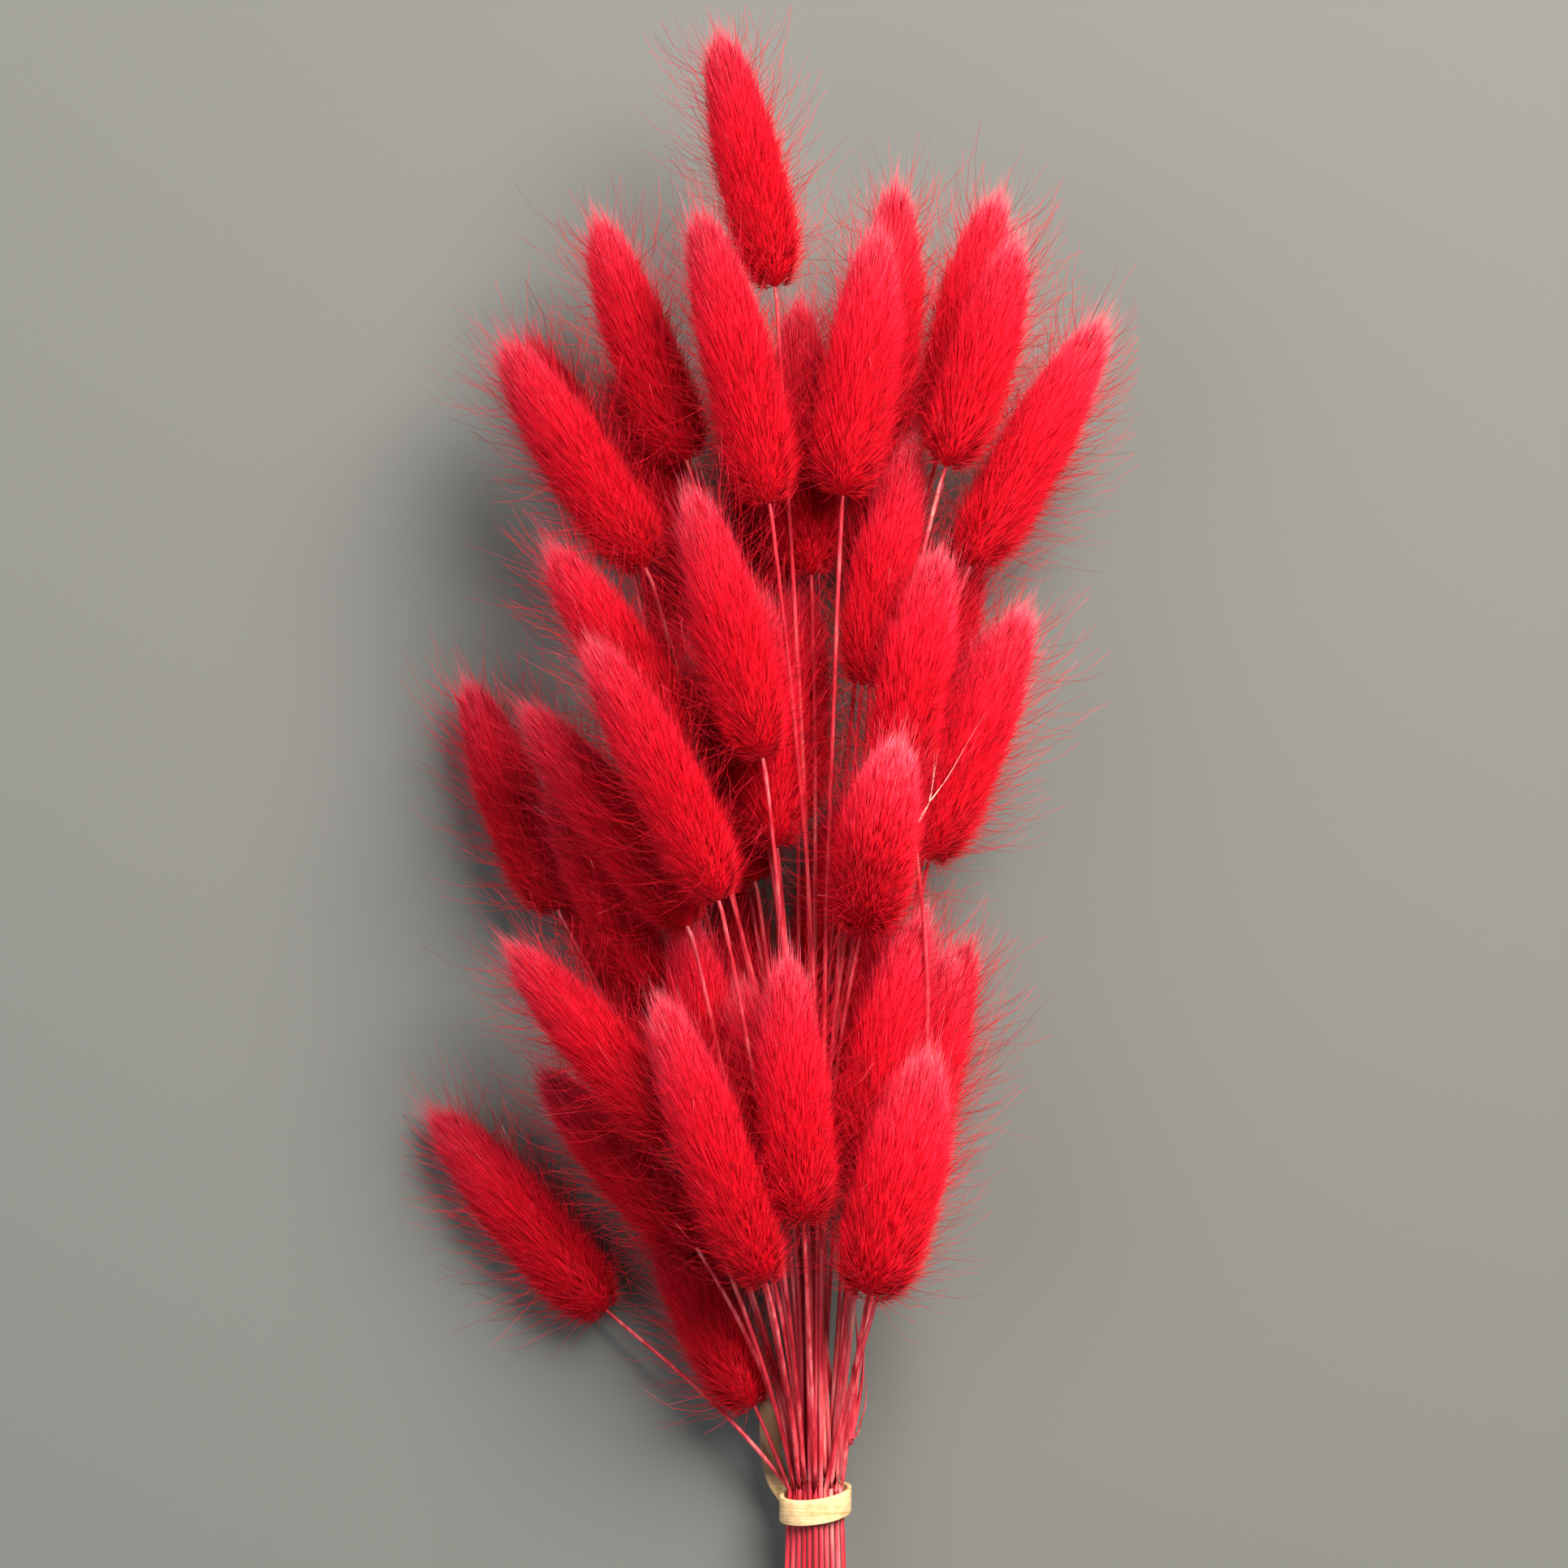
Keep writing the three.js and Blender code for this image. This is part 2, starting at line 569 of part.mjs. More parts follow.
function awnGeometry() {
  const outline = new THREE.Shape();
  outline.absarc(0, 0, AWN_DIAMETER / 2, 0, Math.PI * 2);
  const [main, branch] = awnCurves().map((curve) => {
    return new THREE.ExtrudeGeometry(outline, { steps: 10, extrudePath: curve, curveSegments: 4 });
  });
  return geometryOf(solidOf(main).add(solidOf(branch)));
}

// ---- Assembly ----

function pieceOf(name, geometry, colour, roughness) {
  const material = new THREE.MeshStandardMaterial({ color: colour, roughness, metalness: 0 });
  const mesh = new THREE.Mesh(geometry, material);
  mesh.name = name;
  return mesh;
}

// A fixed piece that the stalks settle round: a chain of points with one radius.
function obstacle(curve, radius, offset = 0) {
  const points = curve.getSpacedPoints(12);
  points.forEach((point) => point.addScaledVector(rightward, offset));
  return {
    points,
    radii: points.map(() => radius),
    weights: points.map(() => 0),
    homes: points,
    headStart: 0,
  };
}

const bunch = new THREE.Group();
const held = assignPlaces(TAILS);
const stalks = TAILS.map((tail, index) => layStalk(tail, held.get(tail), index));
const obstacles = [
  ...[-0.35, 0, 0.35].map((share) => obstacle(loopCurve(), BAND_THICKNESS, share * LOOP_WIDTH)),
  ...[-0.25, 0.25].map((share) => obstacle(sheathCurve(), SHEATH_WIDTH / 4, share * SHEATH_WIDTH)),
  ...awnCurves().map((curve) => obstacle(curve, AWN_DIAMETER / 2)),
];
settle(stalks, obstacles);
stalks.forEach((stalk, index) => {
  const name = `bunny_tail_${String(index + 1).padStart(2, '0')}`;
  bunch.add(pieceOf(name, stalkGeometry(stalk), COLOURS.tail, 0.9));
});
bunch.add(pieceOf('rubber_band', bandGeometry(), COLOURS.rubber, 0.6));
bunch.add(pieceOf('dried_leaf_sheath', sheathGeometry(), COLOURS.sheath, 0.8));
bunch.add(pieceOf('broken_awn', awnGeometry(), COLOURS.awn, 0.7));

// The origin lies at the middle of the bundle's box, on the table.
const box = new THREE.Box3().setFromObject(bunch);
const middle = box.getCenter(new THREE.Vector3());
bunch.position.set(-middle.x, -middle.y, -box.min.z);

export default bunch;
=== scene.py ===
# %% [markdown]
# # A bundle of dyed bunny tail grass
# The bundle is forty-eight dried stalks of bunny tail grass, dyed crimson and gathered by a
# flat rubber band. Each stalk is a thin straw that ends in a soft oval head of fine hairs.
# The frame that is loaded here holds a plain solid for every stalk. This lesson grows fur
# and straw along those solids, one tail at a time, so every tail keeps its place.

import math

import bmesh
import bpy
import numpy as np
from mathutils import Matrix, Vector


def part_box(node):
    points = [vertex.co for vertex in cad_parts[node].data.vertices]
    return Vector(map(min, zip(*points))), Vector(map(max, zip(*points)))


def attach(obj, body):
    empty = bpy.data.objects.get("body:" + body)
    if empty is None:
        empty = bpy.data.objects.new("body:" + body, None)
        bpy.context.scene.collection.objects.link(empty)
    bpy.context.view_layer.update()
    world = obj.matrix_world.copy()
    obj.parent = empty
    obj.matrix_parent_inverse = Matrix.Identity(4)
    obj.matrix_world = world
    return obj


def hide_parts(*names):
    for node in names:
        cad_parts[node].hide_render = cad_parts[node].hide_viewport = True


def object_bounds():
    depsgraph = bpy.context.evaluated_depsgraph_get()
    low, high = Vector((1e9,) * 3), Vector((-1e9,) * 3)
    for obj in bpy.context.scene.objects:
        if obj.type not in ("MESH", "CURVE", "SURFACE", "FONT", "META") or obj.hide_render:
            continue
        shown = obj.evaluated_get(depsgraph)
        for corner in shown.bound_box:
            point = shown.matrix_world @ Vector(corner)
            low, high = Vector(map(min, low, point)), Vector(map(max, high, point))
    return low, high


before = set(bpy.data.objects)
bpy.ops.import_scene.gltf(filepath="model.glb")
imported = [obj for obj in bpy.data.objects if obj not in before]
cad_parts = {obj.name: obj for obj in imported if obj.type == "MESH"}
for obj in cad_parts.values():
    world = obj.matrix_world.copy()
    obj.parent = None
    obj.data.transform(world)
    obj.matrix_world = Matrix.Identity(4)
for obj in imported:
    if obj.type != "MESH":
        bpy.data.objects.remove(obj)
cad_low, cad_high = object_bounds()
MM = 0.001
TAILS = sorted(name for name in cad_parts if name.startswith("bunny_tail"))
print(len(TAILS), "tails, and a box of", [round(side / MM, 1) for side in cad_high - cad_low])

# %% [markdown]
# ## The camera
# The bundle lies on a table and is seen from straight above, with its tips at the top. A
# long lens from two metres away keeps the nearest heads from looking too large. Its place
# is counted from the cut ends and from the rubber band, so it follows the bundle.

# %% Camera
PICTURE_WIDTH = 367 * MM  # what the camera takes in at the bundle's middle height
ABOVE_CUT_ENDS = 277.8 * MM
LEFT_OF_BAND = 16.0 * MM  # from the band's right side
EYE_DISTANCE = 2000 * MM
MIDDLE_HEIGHT = 45 * MM  # of the bundle, above the table
SENSOR_WIDTH = 36.0  # in millimetres, as Blender wants it
NEAREST_SEEN, FARTHEST_SEEN = 0.05, 10  # in metres

band_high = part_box("rubber_band")[1]
camera_data = bpy.data.cameras.new("camera")
camera_data.sensor_width = SENSOR_WIDTH
camera_data.lens = SENSOR_WIDTH * EYE_DISTANCE / PICTURE_WIDTH
camera_data.clip_start, camera_data.clip_end = NEAREST_SEEN, FARTHEST_SEEN
camera = bpy.data.objects.new("camera", camera_data)
camera.location = (
    band_high[0] - LEFT_OF_BAND,
    cad_low.y + ABOVE_CUT_ENDS,
    MIDDLE_HEIGHT + EYE_DISTANCE,
)
bpy.context.scene.collection.objects.link(camera)
bpy.context.scene.camera = camera
print("camera at", [round(x, 4) for x in camera.location], "lens", round(camera_data.lens, 1))

# %% [markdown]
# ## Colours and node helpers
# Colours are easiest to pick as sRGB hex values, and Blender's shaders want linear numbers,
# so one function turns the first into the second. One more small function adds a node with
# its settings and links.


# %% Helpers for colours and nodes
def linear(hex_colour):
    """An sRGB hex colour as linear RGBA."""
    channels = [int(hex_colour[i : i + 2], 16) / 255 for i in (1, 3, 5)]
    curve = [c / 12.92 if c <= 0.04045 else ((c + 0.055) / 1.055) ** 2.4 for c in channels]
    return (*curve, 1.0)


def add_node(tree, kind, inputs=None, **settings):
    """Adds a node. An input is linked if its value is a socket, and set otherwise."""
    node = tree.nodes.new(kind)
    for key, value in settings.items():
        setattr(node, key, value)
    for key, value in (inputs or {}).items():
        if isinstance(value, bpy.types.NodeSocket):
            tree.links.new(value, node.inputs[key])
        else:
            node.inputs[key].default_value = value
    return node


def set_ramp(node, stops):
    """Gives a colour ramp its stops: place and hex colour."""
    ramp = node.color_ramp
    while len(ramp.elements) < len(stops):
        ramp.elements.new(1.0)
    for element, (place, hex_colour) in zip(ramp.elements, stops):
        element.position = place
        element.color = linear(hex_colour)


def new_material(name):
    """An empty material with its output: the material and its node tree."""
    material = bpy.data.materials.new(name)
    material.use_nodes = True
    material.node_tree.nodes.clear()
    return material, material.node_tree


def finish_material(tree, inputs):
    """Ends a material with its shader, whose settings and links are the inputs."""
    shader = add_node(tree, "ShaderNodeBsdfPrincipled", inputs)
    add_node(tree, "ShaderNodeOutputMaterial", {"Surface": shader.outputs["BSDF"]})


print("the dye's red in linear light:", [round(c, 3) for c in linear("#f20022")])

# %% [markdown]
# ## The table and the light
# The table is a plain mid-grey sheet. One large soft lamp stands beyond the tips, to the
# right, and one weak lamp fills the left side, so each head has a light tip, a dark base and
# soft shadows. The Standard view keeps the strong crimson, which the default view would grey.

# %% Table and light
bpy.context.scene.view_settings.view_transform = "Standard"
TABLE_SIZE = 6.0
LAMPS = {  # place in metres, width in metres, power in watts, colour
    "key_lamp": ((0.62, 0.95, 1.25), 1.2, 84, "#fffaf2"),
    "fill_lamp": ((-1.0, 0.2, 1.2), 1.3, 11, "#f2f5ff"),
}
LAMP_TARGET = Vector((0, 0.03, 0.03))
ROOM_COLOUR, ROOM_STRENGTH = "#f4f4f2", 0.19

table_bm = bmesh.new()
bmesh.ops.create_grid(table_bm, x_segments=1, y_segments=1, size=TABLE_SIZE / 2)
table_mesh = bpy.data.meshes.new("table")
table_bm.to_mesh(table_mesh)
table_bm.free()
table = bpy.data.objects.new("table", table_mesh)
bpy.context.scene.collection.objects.link(table)
table_paint, tree = new_material("matt_grey_paint")
finish_material(tree, {"Base Color": linear("#656663"), "Roughness": 0.9})
table_mesh.materials.append(table_paint)


def add_lamp(name, place, size, power, hex_colour):
    """An area lamp that faces the middle of the bundle."""
    lamp = bpy.data.lights.new(name, "AREA")
    lamp.shape = "DISK"
    lamp.size = size
    lamp.energy = power
    lamp.color = linear(hex_colour)[:3]
    holder = bpy.data.objects.new(name, lamp)
    holder.location = place
    aim = LAMP_TARGET - holder.location
    holder.rotation_mode = "QUATERNION"
    holder.rotation_quaternion = aim.to_track_quat("-Z", "Y")
    bpy.context.scene.collection.objects.link(holder)


for name, settings in LAMPS.items():
    add_lamp(name, *settings)
world = bpy.data.worlds.new("soft_room")
world.use_nodes = True
room_light = world.node_tree.nodes["Background"].inputs
room_light["Color"].default_value = linear(ROOM_COLOUR)
room_light["Strength"].default_value = ROOM_STRENGTH
bpy.context.scene.world = world
print("table and lamps are in place")

# %% [markdown]
# ## Reading a tail's line
# A stalk's solid is a stack of rings between two end points. Walking from the tip, one
# step along the edges at a time, gives the rings in order. The middle and the size of each
# ring are all that the fur and the straw need. The frame's mesh stays as it is: a merged
# copy is read.

# %% Ring by ring from the tip
HEAD_SHARES = np.array([1, 0.93, 0.8, 0.6, 0.36, 0.16, 0.05, 0])  # where the head's rings are
HEAD_RINGS = len(HEAD_SHARES)
WIDEST_RING = 4
SOLID_SIDES = 8  # an end point meets this many edges
SAME_POINT = 1e-6


def read_tail(name):
    """Ring middles and half widths, from the tip to the cut end."""
    bm = bmesh.new()
    bm.from_mesh(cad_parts[name].data)
    bmesh.ops.remove_doubles(bm, verts=bm.verts, dist=SAME_POINT)
    bm.verts.index_update()
    poles = [v for v in bm.verts if len(v.link_edges) == SOLID_SIDES]
    ring = [max(poles, key=lambda v: v.co.y)]
    seen = set(ring)
    middles, halves = [], []
    while ring:
        spots = np.array([v.co for v in ring])
        middles.append(spots.mean(axis=0))
        halves.append(np.linalg.norm(spots - middles[-1], axis=1).mean())
        beyond = {e.other_vert(v) for v in ring for e in v.link_edges} - seen
        ring = sorted(beyond, key=lambda v: v.index)
        seen |= beyond
    bm.free()
    return np.array(middles), np.array(halves)


tail_lines = {name: read_tail(name) for name in TAILS}
print("rings in each tail:", sorted({len(halves) for _, halves in tail_lines.values()}))

# %% [markdown]
# ## The fur's finish
# Bunny tail hairs are hollow, translucent and dyed red. Along a hair the colour is painted:
# deep crimson at the root as painted shade in the fur, pure red along the middle and pink at
# the ends as painted light passing through them. The strand's own map says where on a hair a
# point lies: v runs from the root to the end and u is the hair's own shade of the dye. Dried
# plant hair is matt, with a trace of sheen.

# %% Dyed fur
FUR_MAP = "OFBake"
fur, tree = new_material("dyed_plant_fur")
place = add_node(tree, "ShaderNodeUVMap", uv_map=FUR_MAP)
split = add_node(tree, "ShaderNodeSeparateXYZ", {"Vector": place.outputs["UV"]})
along_hair = add_node(tree, "ShaderNodeValToRGB", {"Fac": split.outputs["Y"]})
# painted shade at the root and painted light at the end of every hair, along the map's v
set_ramp(
    along_hair,
    [(0.0, "#84000a"), (0.2, "#cc0016"), (0.4, "#f20022"), (0.65, "#ff3454"), (1.0, "#ffaeb4")],
)
dye = add_node(tree, "ShaderNodeValToRGB", {"Fac": split.outputs["X"]})
set_ramp(dye, [(0.0, "#c4b4b8"), (0.35, "#eee6e8"), (1.0, "#ffffff")])
# the painted shade and light along each hair, times each hair's own tone of the dye
dyed = add_node(
    tree,
    "ShaderNodeMix",
    {"Factor": 1.0, "A": along_hair.outputs["Color"], "B": dye.outputs["Color"]},
    data_type="RGBA",
    blend_type="MULTIPLY",
)
finish_material(
    tree,
    {
        "Base Color": dyed.outputs["Result"],
        "Roughness": 0.6,
        "Specular IOR Level": 0.14,
        "Sheen Weight": 0.1,
        "Sheen Roughness": 0.4,
        "Sheen Tint": linear("#ff6c8c"),
    },
)
print("fur has", len(tree.nodes), "nodes")

# %% [markdown]
# ## One strand, repeated
# A head has thousands of hairs, so one strand has only a few faces: it is a thin three-sided
# spike, closed at both ends. A cone operator makes it, and cuts across it let it bend. The
# same helper makes the straws' tube. The hairs are then laid out with arrays, because an
# operator call for each of them would take hours. A real hair is a few hundredths of a
# millimetre thick, too fine to show, so it is drawn as a wisp that stands for a few.


# %% Rods to repeat
def read_bmesh(bm):
    """Triangulates a bmesh and returns its points and triangles as arrays."""
    bmesh.ops.triangulate(bm, faces=bm.faces)
    bmesh.ops.recalc_face_normals(bm, faces=bm.faces)
    bm.verts.index_update()
    points = np.array([v.co for v in bm.verts])
    faces = np.array([[v.index for v in face.verts] for face in bm.faces])
    bm.free()
    return points, faces


def make_rod(sides, cuts, end_width):
    """A rod of unit length and half width along +Z, with cuts across it."""
    bm = bmesh.new()
    bmesh.ops.create_cone(
        bm, cap_ends=True, segments=sides, radius1=1, radius2=end_width, depth=1
    )
    bmesh.ops.remove_doubles(bm, verts=bm.verts, dist=SAME_POINT)
    bmesh.ops.translate(bm, verts=bm.verts, vec=(0, 0, 0.5))
    for cut in range(1, cuts + 1):
        bmesh.ops.bisect_plane(
            bm,
            geom=bm.verts[:] + bm.edges[:] + bm.faces[:],
            plane_co=(0, 0, cut / (cuts + 1)),
            plane_no=(0, 0, 1),
        )
    return bm


STRAIGHT = read_bmesh(make_rod(sides=3, cuts=0, end_width=0))
BENT = read_bmesh(make_rod(sides=3, cuts=1, end_width=0))
LONG = read_bmesh(make_rod(sides=3, cuts=2, end_width=0.45))
print("triangles in a strand:", [len(faces) for _, faces in (STRAIGHT, BENT, LONG)])

# %% [markdown]
# ## The shape of a head
# A head is a soft oval: blunt at the base, widest under its middle and narrowing to a tuft.
# Its middle line is a smooth curve through the ring middles. A place on a head is then two
# numbers: the share of its length from the base, and the angle round it.

# %% Heads as smooth shapes
# share of the length, share of the half width
OUTLINE = np.array(
    [
        (0.0, 0.1),
        (0.02, 0.4),
        (0.05, 0.6),
        (0.1, 0.79),
        (0.16, 0.9),
        (0.25, 0.97),
        (0.36, 1.0),
        (0.48, 1.0),
        (0.6, 0.98),
        (0.7, 0.92),
        (0.8, 0.8),
        (0.88, 0.65),
        (0.93, 0.5),
        (0.97, 0.32),
        (1.0, 0.05),
    ]
)


def unit(vectors):
    """The vectors at unit length."""
    return vectors / np.linalg.norm(vectors, axis=-1, keepdims=True)


def column(numbers):
    """A list of numbers as a column, which multiplies a list of points row by row."""
    return np.asarray(numbers)[:, None]


class Head:
    """A head's smooth middle line and its half width."""

    CUBIC = 3
    SLOPE_STEP = 0.02  # the share of the length over which the skin's slant is measured

    def __init__(self, name):
        middles, halves = tail_lines[name]
        line = middles[:HEAD_RINGS]
        self.curve = np.polynomial.polynomial.polyfit(HEAD_SHARES, line, self.CUBIC)
        self.half = halves[WIDEST_RING]
        self.length = np.linalg.norm(middles[0] - middles[HEAD_RINGS - 1])

    def middle(self, share):
        """The points of the middle line at these shares of its length."""
        return np.polynomial.polynomial.polyval(share, self.curve).T

    def ahead(self, share):
        """The direction towards the tip."""
        slope = np.polynomial.polynomial.polyder(self.curve)
        return unit(np.polynomial.polynomial.polyval(share, slope).T)

    def out(self, share, angle):
        """The direction away from the middle line, at an angle round it."""
        ahead = self.ahead(share)
        side = unit(np.cross(ahead, (0, 0, 1)))
        over = np.cross(side, ahead)
        return side * column(np.cos(angle)) + over * column(np.sin(angle))

    def width(self, share):
        """The half width at these shares of the length."""
        return self.half * np.interp(share, *OUTLINE.T)

    def slant(self, share):
        """The angle by which the skin turns away from the middle line."""
        before = np.clip(share - self.SLOPE_STEP, 0, 1)
        after = np.clip(share + self.SLOPE_STEP, 0, 1)
        rise = self.width(after) - self.width(before)
        return np.arctan2(rise, (after - before) * self.length)


heads = {name: Head(name) for name in TAILS}
lengths = [head.length / MM for head in heads.values()]
print("heads are", round(min(lengths)), "to", round(max(lengths)), "mm long")

# %% [markdown]
# ## Where the hairs are rooted
# A head could get its hairs from Blender's particle or curve hair, but the export needs real
# meshes. So the roots are laid out here: a golden-angle spiral, as in a sunflower, spreads
# them evenly round the head, and each step along it is shorter where the head is thicker.

# %% Roots
GOLDEN_ANGLE = math.pi * (3 - math.sqrt(5))
SKIN = 0.73  # the skin, as a share of the solid's half width
ROOT_JITTER = 0.05  # in radians
EVENNESS = 0.85  # at 1 the roots are spread by area, at 0 by length
LADDER_STEPS = 400


def spread_roots(count, rng, low, high, evenness=EVENNESS):
    """Even places on a head: shares of its length, and angles."""
    ladder = np.linspace(low, high, LADDER_STEPS)
    room = np.interp(ladder, *OUTLINE.T) ** evenness
    steps = np.cumsum(room) / room.sum()
    share = np.interp((np.arange(count) + rng.random(count)) / count, steps, ladder)
    angle = np.arange(count) * GOLDEN_ANGLE + rng.normal(0, ROOT_JITTER, count)
    return share, angle


print("the skin lies at", SKIN, "of each solid's half width")

# %% [markdown]
# ## Laying the strands
# One strand's rod is laid between each root and its end, with a bend in the middle. Nothing
# may pass below the table, which flattens the fur of the lowest heads as a real table does,
# and no awn may stand far outside the frame's box.

# %% Strands
STRAND_TONE = 0.02  # the width of one strand on the fur's map
ROUND_SHADE = 0.01  # how far the map's v differs round a strand, so that it has an area
ANY_SIDE = (0.3, 0.2, 1.0)  # strands may turn about their line, so this is only a start
LEAST_HEIGHT = 0.1 * MM
PAST_BOX = 9.5 * MM  # fur may stand this far past the frame's box
LOWEST = np.array([cad_low.x - PAST_BOX, cad_low.y, LEAST_HEIGHT])
HIGHEST = np.array(cad_high) + PAST_BOX


def lay_strands(rod, roots, ends, bends, widths, tones, root_v, end_v):
    """Lays a rod along each root-to-end line: points, triangles and map places."""
    points, faces = rod
    x, y, z = points.T[:, None, :, None]
    line = ends - roots
    side = unit(np.cross(line, ANY_SIDE))
    over = unit(np.cross(side, line))
    arch = 4 * z * (1 - z)  # nothing at both ends and whole in the middle
    spots = roots[:, None] + line[:, None] * z + bends[:, None] * arch
    spots = spots + (x * side[:, None] + y * over[:, None]) * widths[:, None, None]
    spots = np.clip(spots, LOWEST, HIGHEST)
    u = column(tones) + STRAND_TONE * (points[:, 0] + 1) / 2
    v = column(root_v) + column(end_v - root_v) * points[:, 2] + ROUND_SHADE * points[:, 1]
    places = np.stack([u, v], axis=-1)
    triangles = faces + (np.arange(len(roots)) * len(points))[:, None, None]
    return spots.reshape(-1, 3), triangles.reshape(-1, 3), places.reshape(-1, 2)


print("fur may reach up to", round(HIGHEST[2] / MM, 1), "mm above the table")

# %% [markdown]
# ## The body under the hairs
# Behind the hairs that show, a real head is a dense mass of more hairs. A closed body in the
# same red stands for it, so that the head isn't see-through. It is a sphere, drawn out along
# the head's line, and narrow bands of lighter and darker dye run along it.

# %% Inner body
BODY_RINGS, BODY_SIDES = 22, 18
BODY_BANDS = 9
BAND_TONES = (0.5, 0.45)  # the bands' middle place on the map's u, and their reach
# painted shade at the body's base and painted light rising towards the head's tip
BODY_SHADES = (0.24, 0.1)  # the map's v at the base, and its rise to the tip
BODY_ENDS = (0.012, 0.985)  # shares of the head's length
BLUNT = 2.2  # how soon the sphere's ends open to the full width


def inner_body(head):
    """The dense body under the hairs, shaped from a sphere."""
    low, high = BODY_ENDS
    bm = bmesh.new()
    bmesh.ops.create_uvsphere(bm, u_segments=BODY_SIDES, v_segments=BODY_RINGS, radius=1)
    ball, faces = read_bmesh(bm)
    share = low + (high - low) * (1 + ball[:, 2]) / 2
    angle = np.arctan2(ball[:, 1], ball[:, 0])
    round_off = np.minimum(np.hypot(ball[:, 0], ball[:, 1]) * BLUNT, 1)
    away = SKIN * head.width(share) * round_off
    points = head.middle(share) + head.out(share, angle) * column(away)
    points = np.clip(points, LOWEST, HIGHEST)
    u = BAND_TONES[0] + BAND_TONES[1] * np.cos(BODY_BANDS * angle)
    # darker at the base and lighter towards the tip: painted shade and painted light
    v = BODY_SHADES[0] + BODY_SHADES[1] * share
    return points, faces, np.stack([u, v], axis=-1)


print("an inner body has", 2 * BODY_SIDES * (BODY_RINGS - 1), "triangles")

# %% [markdown]
# ## Tufts
# A head is made of many small flowers, each with its own tuft of hairs, so neighbouring hairs
# lean together and share a shade. Tuft centres are spread like the roots, every hair joins
# its nearest one, and its end is pulled towards the middle of that tuft's ends.

# %% Tufts
TUFTS = 150


def gather_tufts(head, rng, share, angle, ends, pull):
    """Pulls strand ends towards the middle of their tuft: new ends, and a tone per strand."""
    tuft_share, tuft_angle = spread_roots(TUFTS, rng, share.min(), share.max())
    gap = (column(share) - tuft_share) * head.length
    turn = np.angle(np.exp(1j * (column(angle) - tuft_angle))) * head.half
    nearest = np.argmin(gap**2 + turn**2, axis=1)
    sums = np.zeros((TUFTS, 3))
    np.add.at(sums, nearest, ends)
    middles = sums / column(np.maximum(np.bincount(nearest, minlength=TUFTS), 1))
    ends = ends + (middles[nearest] - ends) * column(pull * rng.random(len(ends)))
    return ends, rng.random(TUFTS)[nearest]


print("each head has", TUFTS, "tufts")

# %% [markdown]
# ## Fine hairs
# The hairs leave the skin at a low angle and lean towards the tip, where they point straight
# ahead like a brush's. They are shorter at the head's blunt base. Their place on the fur's
# map gives painted shade deep at the root and painted light towards the end, most of all near
# the head's tip, where a real head is thin and the light passes through.

# %% Hairs
HAIR_WIDTH = 0.078 * MM  # half of a wisp's thickness at its root
HAIR_RANGE = (0.015, 0.995)  # shares of the head's length between which hairs are rooted
UNDER_SKIN = 0.96  # the roots' depth, as a share of the skin's half width
LEAN_AT = (0, 0.3, 1)  # shares of the head's length at which a coat's lean is given
REACH_AT = (0, 0.12, 0.5, 1)  # and its reach
BRUSH = 0.6  # how far the hairs at the tip turn straight ahead
BRUSH_FROM, BRUSH_OVER = 0.65, 0.25  # where the turn starts, and how long it takes
STRAY_DEGREES = 120  # the larger, the less a hair strays sideways
UNEVEN_AT, UNEVEN = (0.6, 0.95), (0.16, 0.4)  # lengths vary most near the tip
OWN_SHADE, TUFT_SHADE = 0.55, 0.45  # a hair's shade is partly its own, partly its tuft's
ARCH_OUT, ARCH_BACK = 0.06, 0.02  # its bend, as shares of its length
# painted shade at the roots and painted light at the ends; TIP_GLOW is painted light where light
# passes through the head's tip
ROOT_SHADE, ROOT_VARIES, ROOT_LIMITS = 0.14, 0.03, (0.02, 0.98)  # on the map's v
END_SHADE, END_VARIES, END_LIMITS = 0.38, 0.09, (0.05, 0.97)
TIP_GLOW, ROOT_GLOW = 0.54, 0.5  # how much lighter the tip's hairs are, and their roots' part
HAIR_WIDTHS = (0.75, 1.25)


